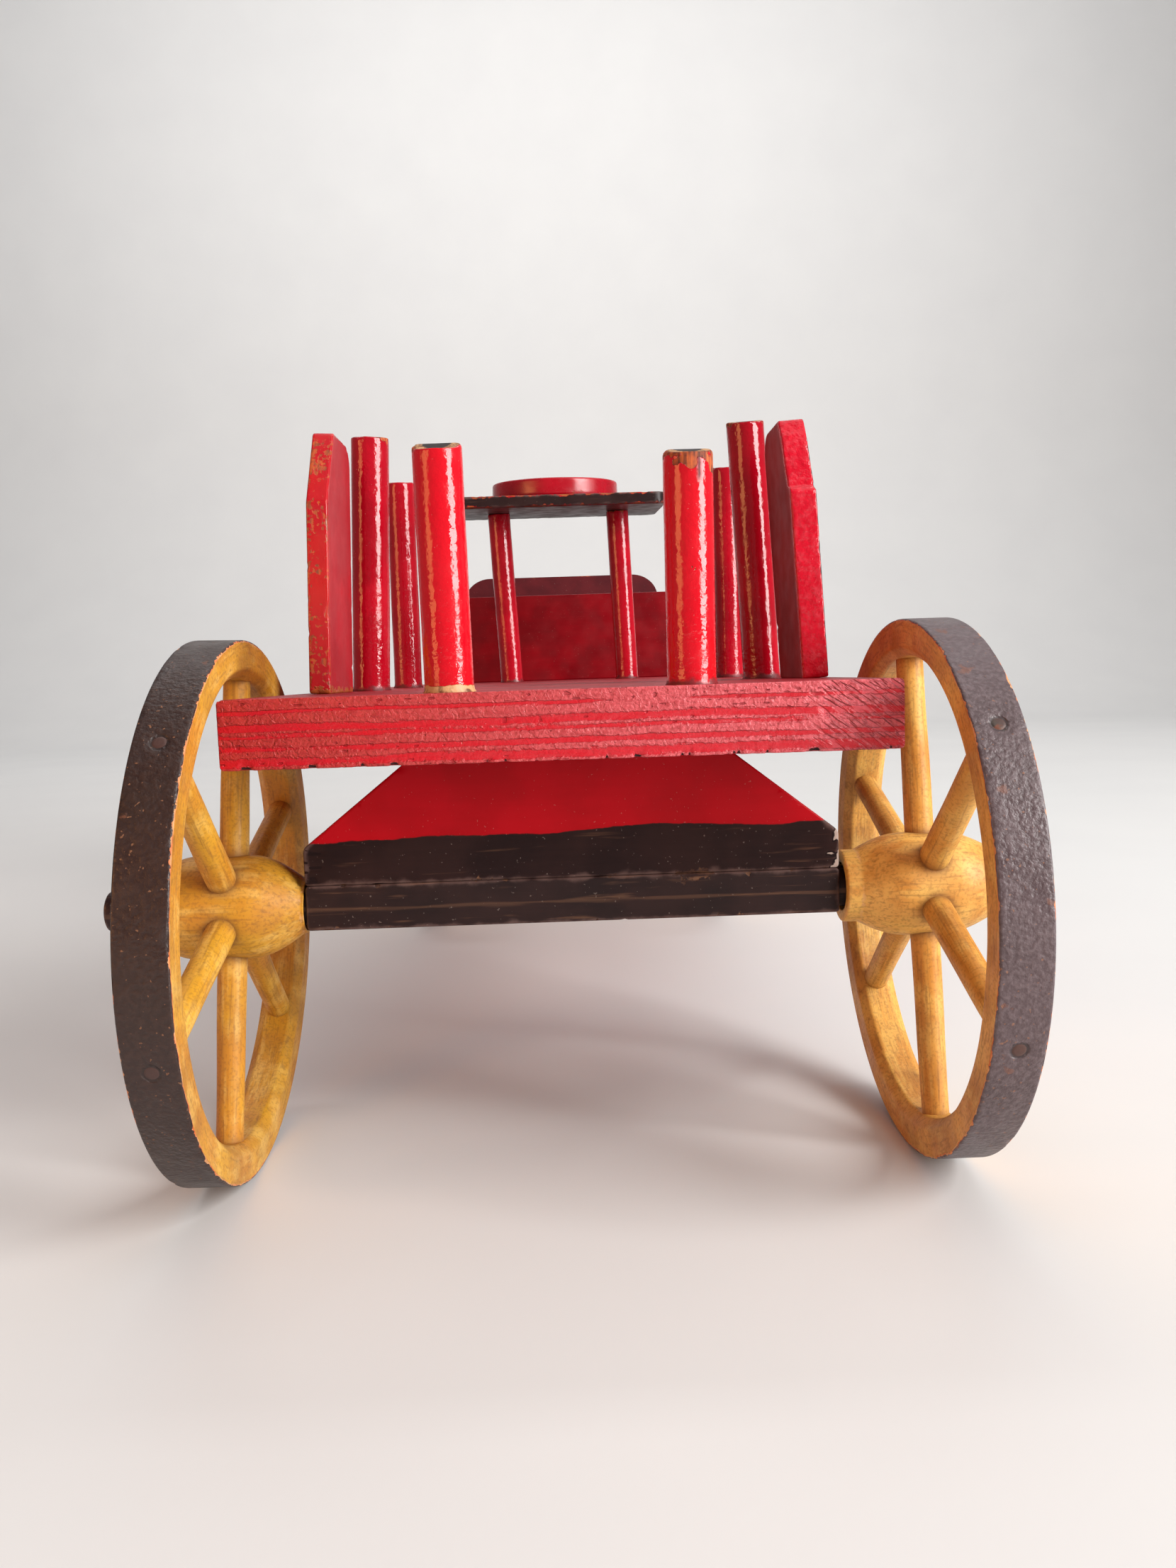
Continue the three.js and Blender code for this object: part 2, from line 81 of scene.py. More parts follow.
POSTS = [f"{kind}_{side}" for kind in ("rear_post", "middle_stake", "forward_stake", "seat_post")
         for side in ("left", "right")]
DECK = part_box("bed")[1].z
JOINT_GAP = 0.0003
GRAIN_ALONG = 45
GRAIN_ACROSS = 700

# An upright's sloping rear corner: where it starts above the deck, and how high and deep it is.
CORNER_FOOT = 0.061
CORNER_HEIGHT = 0.024
CORNER_DEPTH = 0.012

# The line between the bolster's red and black: its height at the left end, and its rise to the right.
LINE_HEIGHT = 0.0129
LINE_RISE = 0.0018


# ---------- Small mathematics ----------
def smooth(values, low, high):
    """0 below low, 1 above high, and an even S between."""
    t = np.clip((np.asarray(values) - low) / (high - low), 0, 1)
    return t * t * (3 - 2 * t)


def ripple(points, scale, offset=0.0):
    """Smooth noise from about -1 to 1 at each point; scale is cells per metre along each axis."""
    return np.array([noise.noise(Vector(p)) for p in points * np.asarray(scale) + offset])


def unit(vector):
    vector = np.asarray(vector, float)
    return vector / np.linalg.norm(vector)


# ---------- Reading the CAD nodes ----------
def welded(node):
    """Points and triangles of a CAD node, with coincident vertices made one."""
    mesh = frame["nodes"][node].data
    corners = np.array([v.co for v in mesh.vertices], float)
    mesh.calc_loop_triangles()
    _, first, same = np.unique(np.round(corners, 6), axis=0, return_index=True, return_inverse=True)
    triangles = np.array([t.vertices for t in mesh.loop_triangles])
    return corners[first], same.reshape(-1)[triangles]


def triangle_normals(points, triangles):
    a, b, c = (points[triangles[:, i]] for i in range(3))
    cross = np.cross(b - a, c - a)
    area = np.linalg.norm(cross, axis=1)
    return cross / np.maximum(area, 1e-15)[:, None], area


def broadest_normal(node):
    """The direction that most of a board's surface faces, pointing up or towards +X."""
    normals, area = triangle_normals(*welded(node))
    normal = normals[area.argmax()]
    return normal if normal[np.abs(normal).argmax()] > 0 else -normal


def face_loops(node, direction):
    """The closed outlines of a CAD node's outermost flat face that looks along direction."""
    points, triangles = welded(node)
    normals, _ = triangle_normals(points, triangles)
    level = points[triangles].mean(1) @ direction
    facing = (normals @ direction > 0.999) & (level > (points @ direction).max() - 1e-4)
    edges = {(t[i], t[(i + 1) % 3]) for t in triangles[facing] for i in range(3)}
    after = {a: b for a, b in edges if (b, a) not in edges}
    loops = []
    while after:
        start, here = after.popitem()
        loop = [start]
        while here != start:
            loop.append(here)
            here = after.pop(here)
        loops.append(points[loop])
    return loops, float(np.ptp(points @ direction))


def dowel_axis(node):
    """Foot point, unit direction, length and radius of a CAD node turned about its long axis."""
    points, triangles = welded(node)
    pairs = np.vstack([triangles[:, [0, 1]], triangles[:, [1, 2]], triangles[:, [2, 0]]])
    runs = points[pairs[:, 1]] - points[pairs[:, 0]]
    lengths = np.linalg.norm(runs, axis=1)
    runs = runs[lengths > 0.7 * lengths.max()]
    direction = unit((runs * np.sign(runs @ runs[0])[:, None]).mean(0))
    if direction[np.abs(direction).argmax()] < 0:
        direction = -direction
    along = points @ direction
    foot = points[along < along.min() + 2e-5].mean(0)
    radius = np.linalg.norm(np.cross(points - foot, direction), axis=1).max()
    return foot, direction, float(np.ptp(along)), float(radius)


# ---------- Shapes ----------
@dataclass
class Shape:
    """Points in the row frame and in the piece's own, faces, and each point's distance to an arris."""

    points: np.ndarray
    local: np.ndarray
    faces: list
    edge: np.ndarray


def merged(shapes):
    faces = []
    start = 0
    for shape in shapes:
        faces += [tuple(i + start for i in face) for face in shape.faces]
        start += len(shape.points)
    return Shape(
        np.vstack([s.points for s in shapes]), np.vstack([s.local for s in shapes]),
        faces, np.concatenate([s.edge for s in shapes]),
    )


def soft_path(corners, radius, step, closed=True):
    """A polyline with rounded corners and short steps, and each point's distance to a sharp corner."""
    corners = np.asarray(corners, float)
    count = len(corners)
    path = []
    sharp = []
    for i, corner in enumerate(corners):
        if not closed and i in (0, count - 1):
            path.append(corner)
            continue
        before = corners[i - 1] - corner
        after = corners[(i + 1) % count] - corner
        turn = math.pi - math.acos(np.clip(unit(before) @ unit(after), -1, 1))
        if turn > SHARP_TURN:
            sharp.append(corner)
        start = corner + unit(before) * min(radius, 0.45 * np.linalg.norm(before))
        end = corner + unit(after) * min(radius, 0.45 * np.linalg.norm(after))
        for t in (0, 0.25, 0.5, 0.75, 1):
            path.append((1 - t) ** 2 * start + 2 * t * (1 - t) * corner + t * t * end)
    path = subdivided(np.array(path), step, closed)
    if not sharp:
        return path, np.full(len(path), 1.0)
    return path, np.linalg.norm(path[:, None] - np.array(sharp)[None], axis=2).min(1)


def subdivided(path, step, closed):
    points = []
    last = len(path) if closed else len(path) - 1
    for i in range(last):
        a = path[i]
        b = path[(i + 1) % len(path)]
        parts = max(1, math.ceil(np.linalg.norm(b - a) / step))
        points += [a + (b - a) * k / parts for k in range(parts)]
    if not closed:
        points.append(path[-1])
    return np.array(points)


def ring_faces(first, second, count):
    """Quads between two rings whose first vertices are given."""
    pairs = [(k, (k + 1) % count) for k in range(count)]
    return [(first + a, first + b, second + b, second + a) for a, b in pairs]


def turned(profile, edge, step, segments, closed=False):
    """A solid of revolution about its own Z, from (radius, height) corners rounded by edge."""
    path, to_arris = soft_path(profile, edge, step, closed)
    path[:, 0] = np.maximum(path[:, 0], 1e-4)
    angles = np.linspace(0, 2 * math.pi, segments, endpoint=False)
    r = path[:, :1]
    points = np.stack([r * np.cos(angles), r * np.sin(angles), path[:, 1:] + 0 * angles], axis=-1)
    rings = len(path)
    faces = []
    for i in range(rings if closed else rings - 1):
        faces += ring_faces(i * segments, (i + 1) % rings * segments, segments)
    if not closed:
        faces.append(tuple(range(segments)))
        faces.append(tuple(range((rings - 1) * segments, rings * segments)))
    points = points.reshape(-1, 3)
    return Shape(points, points.copy(), faces, np.repeat(to_arris, segments))


def stick(foot_radius, top_radius, low, high, edge, step, segments):
    """A straight or tapered round bar along its own Z."""
    profile = [(0, low), (foot_radius, low), (top_radius, high), (0, high)]
    return turned(profile, edge, step, segments)


def polar(shape):
    """Each point's distance from the shape's own Z axis, and its angle about it."""
    angle = np.arctan2(shape.local[:, 1], shape.local[:, 0])
    return np.linalg.norm(shape.local[:, :2], axis=1), angle


def frame_on(axis, hint=(0, 0, 1)):
    """Three unit vectors, the last along axis and the first as near hint as it can be."""
    w = unit(axis)
    u = unit(np.asarray(hint, float) - (np.asarray(hint, float) @ w) * w)
    return np.array([u, np.cross(w, u), w])


def placed(shape, origin, basis):
    shape.points = np.asarray(origin, float) + shape.local @ basis
    return shape


def graded(length, fine, coarse):
    """Levels from 0 to length, close together at both ends."""
    gaps = [fine]
    while sum(gaps) < length / 2:
        gaps.append(min(gaps[-1] * 1.3, coarse))
    half = np.concatenate([[0], np.cumsum(gaps)]) * (length / 2 / sum(gaps))
    return np.concatenate([half, length - half[-2::-1]])


def board_levels(thickness, arris, fine, coarse):
    """(inset, height) of each ring of a board, from the middle of one face's rim to the other's."""
    turn = [k * math.pi / 8 for k in range(5)]
    foot = [(1.5 * arris, 0.0)]
    foot += [(arris * (1 - math.sin(t)), arris * (1 - math.cos(t))) for t in turn]
    wall = [(0.0, arris + h) for h in graded(thickness - 2 * arris, fine, coarse)[1:-1]]
    return foot + wall + [(inset, thickness - height) for inset, height in reversed(foot)]


def outward(loop):
    """Unit vectors that point out of the wood at each point of an outline."""
    ahead = np.roll(loop, -1, 0) - np.roll(loop, 1, 0)
    side = np.stack([ahead[:, 1], -ahead[:, 0]], axis=1)
    return side / np.linalg.norm(side, axis=1)[:, None]


def within(points, loops):
    """Which points lie inside the outlines and outside their holes."""
    x, y = points.T
    odd = np.zeros(len(points), bool)
    for loop in loops:
        for (x0, y0), (x1, y1) in zip(loop, np.roll(loop, -1, 0)):
            crosses = (y0 > y) != (y1 > y)
            reach = x0 + (y - y0) * (x1 - x0) / (y1 - y0 if y1 != y0 else 1)
            odd ^= crosses & (x < reach)
    return odd


def distance_to(points, rim):
    nearest = [np.linalg.norm(rim - p, axis=1).min() for p in points]
    return np.array(nearest)


def distance_all(points, place):
    return np.linalg.norm(points - np.array(place), axis=1)


def fill_cap(loops, step):
    """Extra points spread inside the outlines, and triangles over them all."""
    rim = np.vstack(loops)
    low = rim.min(0) + step / 2
    high = rim.max(0)
    grid = np.stack(np.meshgrid(np.arange(low[0], high[0], step), np.arange(low[1], high[1], step)), -1)
    grid = grid.reshape(-1, 2)
    grid = grid[within(grid, loops)]
    reach = distance_to(grid, rim)
    grid = grid[reach > 0.6 * step]
    reach = reach[reach > 0.6 * step]
    points = np.vstack([rim, grid]) * 1000
    edges = []
    start = 0
    for loop in loops:
        edges += [(start + k, start + (k + 1) % len(loop)) for k in range(len(loop))]
        start += len(loop)
    made = delaunay_2d_cdt([Vector(p) for p in points], edges, [], 0, 1e-7)
    source = [o[0] if o else int(distance_all(points, v).argmin()) for v, o in zip(made[0], made[3])]
    triangles = np.array([[source[i] for i in face] for face in made[2]])
    middles = points[triangles].mean(1) / 1000
    return grid, reach, triangles[within(middles, loops)]


def board(loops, thickness, arris=ARRIS, step=FACE_STEP, coarse=0.006):
    """A flat board, its outlines in its own X and Y and its thickness from 0 along Z."""
    paths = [soft_path(loop, 2.2 * arris, step) for loop in loops]
    levels = board_levels(thickness, arris, step, coarse)
    points, edges, faces, starts = [], [], [], []
    start = 0
    for path, corner in paths:
        out = outward(path)
        for inset, height in levels:
            ring = np.column_stack([path - out * inset, np.full(len(path), height)])
            points.append(ring)
            to_face = min(height, thickness - height) + inset
            edges.append(np.minimum(corner, to_face))
        for i in range(len(levels) - 1):
            faces += ring_faces(start + i * len(path), start + (i + 1) * len(path), len(path))
        starts.append(start)
        start += len(levels) * len(path)
    inner = [path - outward(path) * levels[0][0] for path, _ in paths]
    grid, reach, triangles = fill_cap(inner, step)
    for height, ring in ((0.0, 0), (thickness, len(levels) - 1)):
        index = [s + ring * len(p) + k for s, (p, _) in zip(starts, paths) for k in range(len(p))]
        index += list(range(start, start + len(grid)))
        points.append(np.column_stack([grid, np.full(len(grid), height)]))
        edges.append(reach + arris)
        start += len(grid)
        faces += [tuple(index[i] for i in triangle) for triangle in triangles]
    points = np.vstack(points)
    return Shape(points, points.copy(), faces, np.concatenate(edges))


def board_from(node, direction=None, hint=(0, 0, 1), **options):
    """A finely meshed board over a flat CAD node, with the face along direction at the top of its Z."""
    direction = unit(broadest_normal(node) if direction is None else direction)
    loops, thickness = face_loops(node, direction)
    basis = frame_on(direction, hint)
    origin = direction * (loops[0][0] @ direction - thickness)
    flat = [loop @ basis[:2].T for loop in loops]
    return placed(board(flat, thickness, **options), origin, basis)


# ---------- Node graphs ----------
def colour(red, green, blue):
    """A linear colour from everyday 0 to 255 values."""
    def linear(value):
        share = value / 255
        return share / 12.92 if share <= 0.04045 else ((share + 0.055) / 1.055) ** 2.4
    return (linear(red), linear(green), linear(blue), 1.0)


class Signal:
    """A node's output. Its sums and products are Math nodes."""

    def __init__(self, graph, socket):
        self.graph = graph
        self.socket = socket

    def __add__(self, other):
        return self.graph.math("ADD", self, other)

    def __sub__(self, number):
        return self + -number

    def __rsub__(self, number):
        return self.graph.math("SUBTRACT", number, self)

    def __mul__(self, other):
        return self.graph.math("MULTIPLY", self, other)


class Graph:
    """Short calls that build one material's nodes."""

    def __init__(self, name):
        self.material = bpy.data.materials.new(name)
        self.material.use_nodes = True
        self.tree = self.material.node_tree
        self.tree.nodes.clear()
        self.place = self.made("ShaderNodeTexCoord", "Object")
        self.grain = self.attribute("grain", "Vector")
        self.edge = self.attribute("edge")
        self.chip = self.attribute("chip")

    def feed(self, socket, value):
        if isinstance(value, Signal):
            self.tree.links.new(value.socket, socket)
        else:
            socket.default_value = value

    def made(self, kind, output, inputs=(), **settings):
        """One output of a new node; inputs says what feeds which of its sockets."""
        node = self.tree.nodes.new(kind)
        for key, value in settings.items():
            setattr(node, key, value)
        for socket, value in dict(inputs).items():
            self.feed(node.inputs[socket], value)
        return Signal(self, node.outputs[output])

    def attribute(self, name, output="Fac"):
        return self.made("ShaderNodeAttribute", output, attribute_name=name)

    def noise(self, scale, where=None, detail=3.0, distortion=0.0):
        inputs = {"Vector": where or self.place, "Scale": scale, "Detail": detail, "Distortion": distortion}
        return self.made("ShaderNodeTexNoise", 0, inputs)

    def math(self, operation, first, second):
        return self.made("ShaderNodeMath", 0, {0: first, 1: second}, operation=operation)

    def step(self, value, low, high, start=0.0, end=1.0):
        """A smooth step from start to end as value goes from low to high."""
        inputs = enumerate((value, low, high, start, end))
        return self.made("ShaderNodeMapRange", 0, inputs, interpolation_type="SMOOTHSTEP")

    def mix(self, share, first, second):
        """The first colour where share is 0, the second where it is 1."""
        return self.made("ShaderNodeMix", 2, {0: share, 6: first, 7: second}, data_type="RGBA")

    def blend(self, share, first, second):
        """The same for two numbers."""
        return self.made("ShaderNodeMix", 0, {0: share, 2: first, 3: second}, data_type="FLOAT")


@dataclass
class Layer:
    """A surface as built so far: its colour, roughness and height in metres."""

    g: Graph
    colour: object
    roughness: object
    height: object

    def cover(self, share, over):
        """Puts another layer on top where share is 1."""
        self.recolour(share, over.colour, over.roughness)
        self.height = self.g.blend(share, self.height, over.height)

    def recolour(self, share, tint, roughness=0.7):
        """Tints and dulls the surface without changing its relief: dirt and dust, and also painted shade
        and painted highlights.
        """
        self.colour = self.g.mix(share, self.colour, tint)
        self.roughness = self.g.blend(share, self.roughness, roughness)

    def sink(self, share, depth):
        """Lowers the relief by depth where share is 1."""
        self.height += share * -depth

    def finish(self, specular=0.5, metal=0.0):
        """The material itself, with the relief as bump."""
        bump = {"Strength": 1.0, "Distance": 1.0, "Height": self.height}
        shader = self.g.made("ShaderNodeBsdfPrincipled", 0, {
            "Base Color": self.colour, "Roughness": self.roughness, "Metallic": metal,
            "Specular IOR Level": specular, "Normal": self.g.made("ShaderNodeBump", "Normal", bump),
        })
        output = self.g.tree.nodes.new("ShaderNodeOutputMaterial")
        self.g.feed(output.inputs["Surface"], shader)
        return self.g.material


# ---------- Colours ----------
RED = colour(184, 8, 32)
RED_DEEP = colour(148, 4, 22)
RED_DARK = colour(122, 6, 20)
RED_DUSTY = colour(160, 46, 52)
# painted sheen and painted highlights: pink on the thick gloss and along the gouges
RED_PINK_SHEEN = colour(206, 92, 102)
RED_VIVID = colour(200, 6, 26)
# painted light: a lighter copy of the red for the two rear posts
RED_LIT = colour(200, 22, 34)
RED_THICK = colour(204, 22, 44)
RED_BOLSTER = (colour(184, 3, 22), colour(164, 2, 16))
# painted shade: a darker copy of the red for the right upright
RED_SHADED_SIDE = (colour(150, 8, 20), colour(120, 4, 14))
# painted shade: darker reds for the front board and the footboard under the seat
RED_FRONT_SHADED = (colour(136, 4, 18), colour(100, 3, 12))
WINE_SHADED = (colour(80, 14, 22), colour(62, 9, 16))
# The rose of the end grain is partly its paint and partly a painted sheen of gloss over rough wood
ROSE = colour(174, 48, 44)
# painted light: the lighter rose of the end's right side
ROSE_LIT = colour(212, 98, 106)
ROSE_DEEP = colour(150, 22, 30)
MAROON = colour(58, 12, 14)
SCARLET = colour(204, 44, 26)
ORANGE_WOOD = colour(196, 92, 38)
TAN = colour(206, 158, 110)
TAN_DARK = colour(112, 68, 40)
BLACK = colour(27, 13, 14)
BLACK_WARM = colour(46, 27, 25)
BROWN_WOOD = colour(112, 80, 60)
YELLOW = colour(206, 154, 40)
# painted light: lighter copies of the yellow for the right-hand wheels, and lighter still for their hubs
YELLOW_LIT_HUB = colour(236, 186, 98)
YELLOW_LIT = colour(224, 168, 80)
YELLOW_DEEP = colour(186, 118, 36)
YELLOW_PALE = colour(226, 184, 96)
# Dirt on the yellow, and also the painted shade beside the spokes
YELLOW_DIRT_AND_SHADE = colour(122, 80, 38)
# painted light: one tread paint, as a shaded copy for the left wheels and a lit copy for the right
TREAD_SHADED = (colour(44, 26, 19), colour(64, 42, 33))
TREAD_LIT = (colour(86, 70, 73), colour(116, 101, 104))
TREAD_SPECK = colour(160, 108, 74)
TREAD_SCUFF = colour(124, 76, 54)
# painted shade in the dent round a nail head
NAIL_RING_SHADE = colour(34, 22, 20)
NAIL_PAINT = (colour(84, 54, 45), colour(60, 38, 34))
STEEL = colour(92, 84, 78)
RUST = colour(110, 60, 38)
DUST = colour(176, 160, 150)
DUST_BROWN = colour(124, 98, 92)
FLOOR = (colour(226, 225, 223), colour(219, 218, 217))


# ---------- Surfaces: noise has so many cells a metre, and relief is in metres ----------
YELLOW_GLOSS = 0.48


def paint(g, base, deep, gloss, grain=1e-5, ripples=2e-5):
    """Brushed paint in two shades, with the grain and the brush just showing."""
    patches = g.step(g.noise(48), 0.36, 0.64)
    streaks = g.noise(1.0, where=g.grain, detail=4.0)
    tone = patches * 0.55 + streaks * 0.45
    roughness = g.step(g.noise(130), 0.3, 0.7, gloss - 0.05, gloss + 0.10)
    height = streaks * grain + g.noise(210, detail=1.0) * ripples + g.noise(1500) * (ripples * 0.12)
    return Layer(g, g.mix(tone, base, deep), roughness, height)


def bare_wood(g, pale, dark):
    streaks = g.noise(1.6, where=g.grain, detail=5.0)
    tone = g.step(streaks * 0.7 + g.noise(420) * 0.3, 0.35, 0.65)
    return Layer(g, g.mix(tone, pale, dark), 0.72, streaks * 6e-5)


def wear_mask(g, amount):
    """Where an edge has lost its paint: 1 near worn edges, in ragged patches."""
    ragged = g.noise(70) + g.noise(330) * 0.6 + g.noise(1300) * 0.3 - 0.45
    worn = g.step(g.edge * amount + ragged + g.chip * 0.4, 0.93, 0.99)
    return worn * g.step(g.edge, 0.10, 0.45)


def specks(g, scale, rarity):
    """Small scattered spots."""
    return g.step(g.noise(scale, detail=1.0), rarity, rarity + 0.04)


def gloss_red(name, wear, gloss, dusty=0.0, base=RED, deep=RED_DEEP):
    """Red paint worn to the wood along its edges, and dusty as far as is said."""
    g = Graph(name)
    layer = paint(g, base, deep, gloss)
    worn = wear_mask(g, wear)
    layer.cover(worn, bare_wood(g, ORANGE_WOOD, MAROON))
    layer.sink(worn, 1.2e-4)
    if dusty:
        layer.recolour(g.step(g.noise(70, detail=5.0), 0.25, 0.75) * dusty, RED_DUSTY, 0.55)
    layer.recolour(specks(g, 1400, 0.74) * 0.22, DUST)
    return g, layer


def red_board(name, wear, gloss, dusty=0.0, shades=(RED, RED_DEEP), specular=0.5):
    _, layer = gloss_red(name, wear, gloss, dusty, *shades)
    return layer.finish(specular)


def red_post(name, foot_bare, peeled, base=RED, deep=RED_DEEP):
    """A painted dowel: bare wood and glue at the foot, a dark worn end and peeling paint on top."""
    g, layer = gloss_red(name, wear=0.22, gloss=0.10, base=base, deep=deep)
    layer.height += g.noise(190) * 2.6e-4
    layer.height += g.noise(560, detail=2.0) * 1.6e-4
    foot = g.attribute("foot") + (g.noise(380) - 0.5) * (0.35 if foot_bare else 0.9)
    layer.recolour(g.step(foot, 0.62, 0.95) * 0.75, MAROON)
    if foot_bare:
        glue = g.mix(g.step(g.noise(420, detail=4.0), 0.46, 0.66), TAN, TAN_DARK)
        layer.cover(g.step(foot, 0.63, 0.67), Layer(g, glue, 0.5, g.noise(700) * 2e-4))
    blistered = g.attribute("top") + (g.noise(170, detail=4.0) - 0.5) * 2.4
    peel = g.step(blistered, 1.12 - peeled, 1.16 - peeled)
    layer.cover(peel, bare_wood(g, ORANGE_WOOD, MAROON))
    layer.sink(peel, 2e-4)
    layer.cover(g.step(g.attribute("crown"), 0.4, 0.6), bare_wood(g, TAN, TAN_DARK))
    layer.recolour(g.step(g.attribute("core") + g.noise(300) * 0.6, 0.6, 0.9), BLACK)
    layer.recolour(g.attribute("crack") * 0.9, BLACK)
    return layer.finish()


def upright_paint():
    """A thinly painted board whose rear edge is rubbed to specks of wood, with glue at its foot."""
    g, layer = gloss_red("upright_paint_worn", wear=0.30, gloss=0.40, dusty=0.55)
    rear = g.attribute("rear")
    layer.cover(rear * 0.6, paint(g, SCARLET, RED, 0.22, ripples=8e-5))
    mottle = g.noise(620, detail=5.0) * 0.75 + g.noise(90) * 0.45 + g.attribute("far") * 0.13
    worn = g.step(mottle, 0.66, 0.72) * (rear * 0.8)
    layer.cover(worn, bare_wood(g, ORANGE_WOOD, TAN_DARK))
    layer.sink(worn, 6e-5)
    layer.roughness = g.blend(g.step(g.edge, 0.55, 0.85), layer.roughness, 0.12)
    glue = g.step(g.attribute("foot") + (g.noise(420) - 0.5) * 1.2, 0.72, 0.80)
    layer.cover(glue, Layer(g, g.mix(g.noise(800), TAN_DARK, ORANGE_WOOD), 0.35, g.noise(500) * 3e-4))
    return layer.finish()


def upright_paint_glossy():
    """Thick rippled gloss on the rear edge with pink patches of painted sheen, duller on the sides and
    darker red there as painted shade, and a dark chipped outer arris.
    """
    base, deep = RED_SHADED_SIDE
    g, layer = gloss_red("upright_paint_glossy", wear=0.26, gloss=0.62, base=base, deep=deep)
    thick = paint(g, RED_THICK, RED, 0.12, ripples=2.4e-4)
    # painted sheen: pink patches on the thick rear gloss
    thick.recolour(g.step(g.noise(420, detail=5.0), 0.45, 0.70) * 0.22, RED_PINK_SHEEN, 0.2)
    thick.height += g.noise(480) * 4.5e-4
    layer.cover(g.attribute("rear"), thick)
    arris = g.attribute("far") * g.step(g.edge, 0.25, 0.70)
    chipped = g.step(arris + g.noise(420, detail=5.0) * 0.9, 1.28, 1.34)
    layer.cover(chipped, bare_wood(g, BLACK, MAROON))
    return layer.finish(specular=0.4)


def bed_paint():
    """Dull red plank; its rear end is rosy end grain with smooth bright bands, pits and gouges. The rose is
    partly a painted sheen and turns lighter towards the right as painted light; the pits are darker as
    painted shade, and the gouges carry painted pink highlights.
    """
    g, layer = gloss_red("bed_paint", wear=0.30, gloss=0.50, dusty=0.3, deep=RED_DARK)
    streaks = g.noise(1.0, where=g.attribute("end_grain", "Vector"))
    fleck = g.noise(1000, detail=5.0)
    dents = g.noise(560, detail=2.0, distortion=1.2)
    cuts = g.noise(1.0, where=g.attribute("slant", "Vector"), detail=2.0)
    gouged = g.attribute("gouged")
    cut = g.step(cuts, 0.42, 0.58) * gouged
    tone = streaks * 0.3 + fleck * 0.4 + dents * 0.3
    relief = fleck * 2.6e-4 + streaks * 1.6e-4 + dents * 6e-4 + cut * -1.2e-3
    # painted light: the rose turns lighter and pinker towards the right of the end
    rose = g.mix(g.attribute("lit_toward_right"), ROSE, ROSE_LIT)
    flecked = g.mix(g.step(tone, 0.44, 0.60) * 0.5, rose, ROSE_DEEP)
    end = Layer(g, flecked, g.step(fleck, 0.3, 0.7, 0.24, 0.46), relief)
    band = g.attribute("band") + (fleck - 0.5) * 0.7 + (streaks - 0.5) * 0.8
    smooth_band = Layer(g, g.mix(streaks, RED, RED_VIVID), 0.24, (streaks + dents) * 9e-5)
    end.cover(g.step(band, 0.38, 0.70) * 0.75, smooth_band)
    # painted shade: darker red in the pits of the end grain
    end.cover(g.step(g.attribute("pit"), 0.45, 0.75) * 0.45, Layer(g, RED_DARK, 0.5, -2e-4))
    # painted highlight: pink along the gouges at the right of the end
    end.recolour(g.step(cuts, 0.50, 0.60) * gouged * 0.75, RED_PINK_SHEEN, 0.2)
    broken = g.step(g.attribute("broken") + (g.noise(900) - 0.5) * 0.5, 0.42, 0.52)
    end.cover(broken, bare_wood(g, MAROON, BLACK))
    layer.cover(g.step(g.attribute("end"), 0.4, 0.6), end)
    return layer.finish(specular=0.3)


def black_layer(g, gloss, wear, warm=0.35):
    """Brown-black paint with pale scratches, specks and worn brown edges."""
    layer = paint(g, BLACK, BLACK_WARM, gloss, grain=4e-5)
    scratch = g.step(g.noise(0.8, where=g.grain, detail=6.0), 0.60, 0.72)
    layer.recolour(scratch * warm, BROWN_WOOD, 0.6)
    layer.recolour(specks(g, 1100, 0.73) * 0.22, DUST)
    dusty = g.step(g.edge + g.noise(150, detail=4.0) * 1.2, 1.15, 1.55)
    layer.recolour(dusty * 0.45, DUST_BROWN)
    worn = wear_mask(g, wear)
    layer.cover(worn, bare_wood(g, BROWN_WOOD, BLACK_WARM))
    layer.sink(worn, 1e-4)
    return layer


def black_board(name, gloss=0.42, wear=0.38):
    return black_layer(Graph(name), gloss, wear).finish(specular=0.2)


def axle_paint(name):
    """Black beam with a faint pale line along the middle of each side, a painted highlight."""
    g = Graph(name)
    layer = black_layer(g, gloss=0.44, wear=0.38, warm=0.55)
    # painted highlight: a pale line along the middle of each side
    paled = g.step(g.attribute("line") + (g.noise(1.2, where=g.grain) - 0.5) * 1.1, 0.55, 0.95)
    layer.recolour(paled * 0.35, BROWN_WOOD, 0.55)
    return layer.finish(specular=0.25)


def bolster_paint():
    """Red above and black below a line brushed by hand, with dark saw marks or pale flakes at the ends."""
    base, deep = RED_BOLSTER
    g, layer = gloss_red("bolster_paint", wear=0.26, gloss=0.36, base=base, deep=deep)
    wave = (g.noise(26, detail=2.0) + g.noise(300) * 0.12 - 0.56) * 1.7
    layer.cover(g.step(g.attribute("below") + wave, -0.06, 0.06), black_layer(g, gloss=0.42, wear=0.36))
    kerf = g.attribute("kerf")
    flaked = g.mix(g.step(kerf, 0.65, 0.9), BLACK, DUST)
    layer.cover(g.step(kerf, 0.2, 0.4), Layer(g, flaked, 0.7, g.noise(900) * 1e-4))
    return layer.finish(specular=0.15)


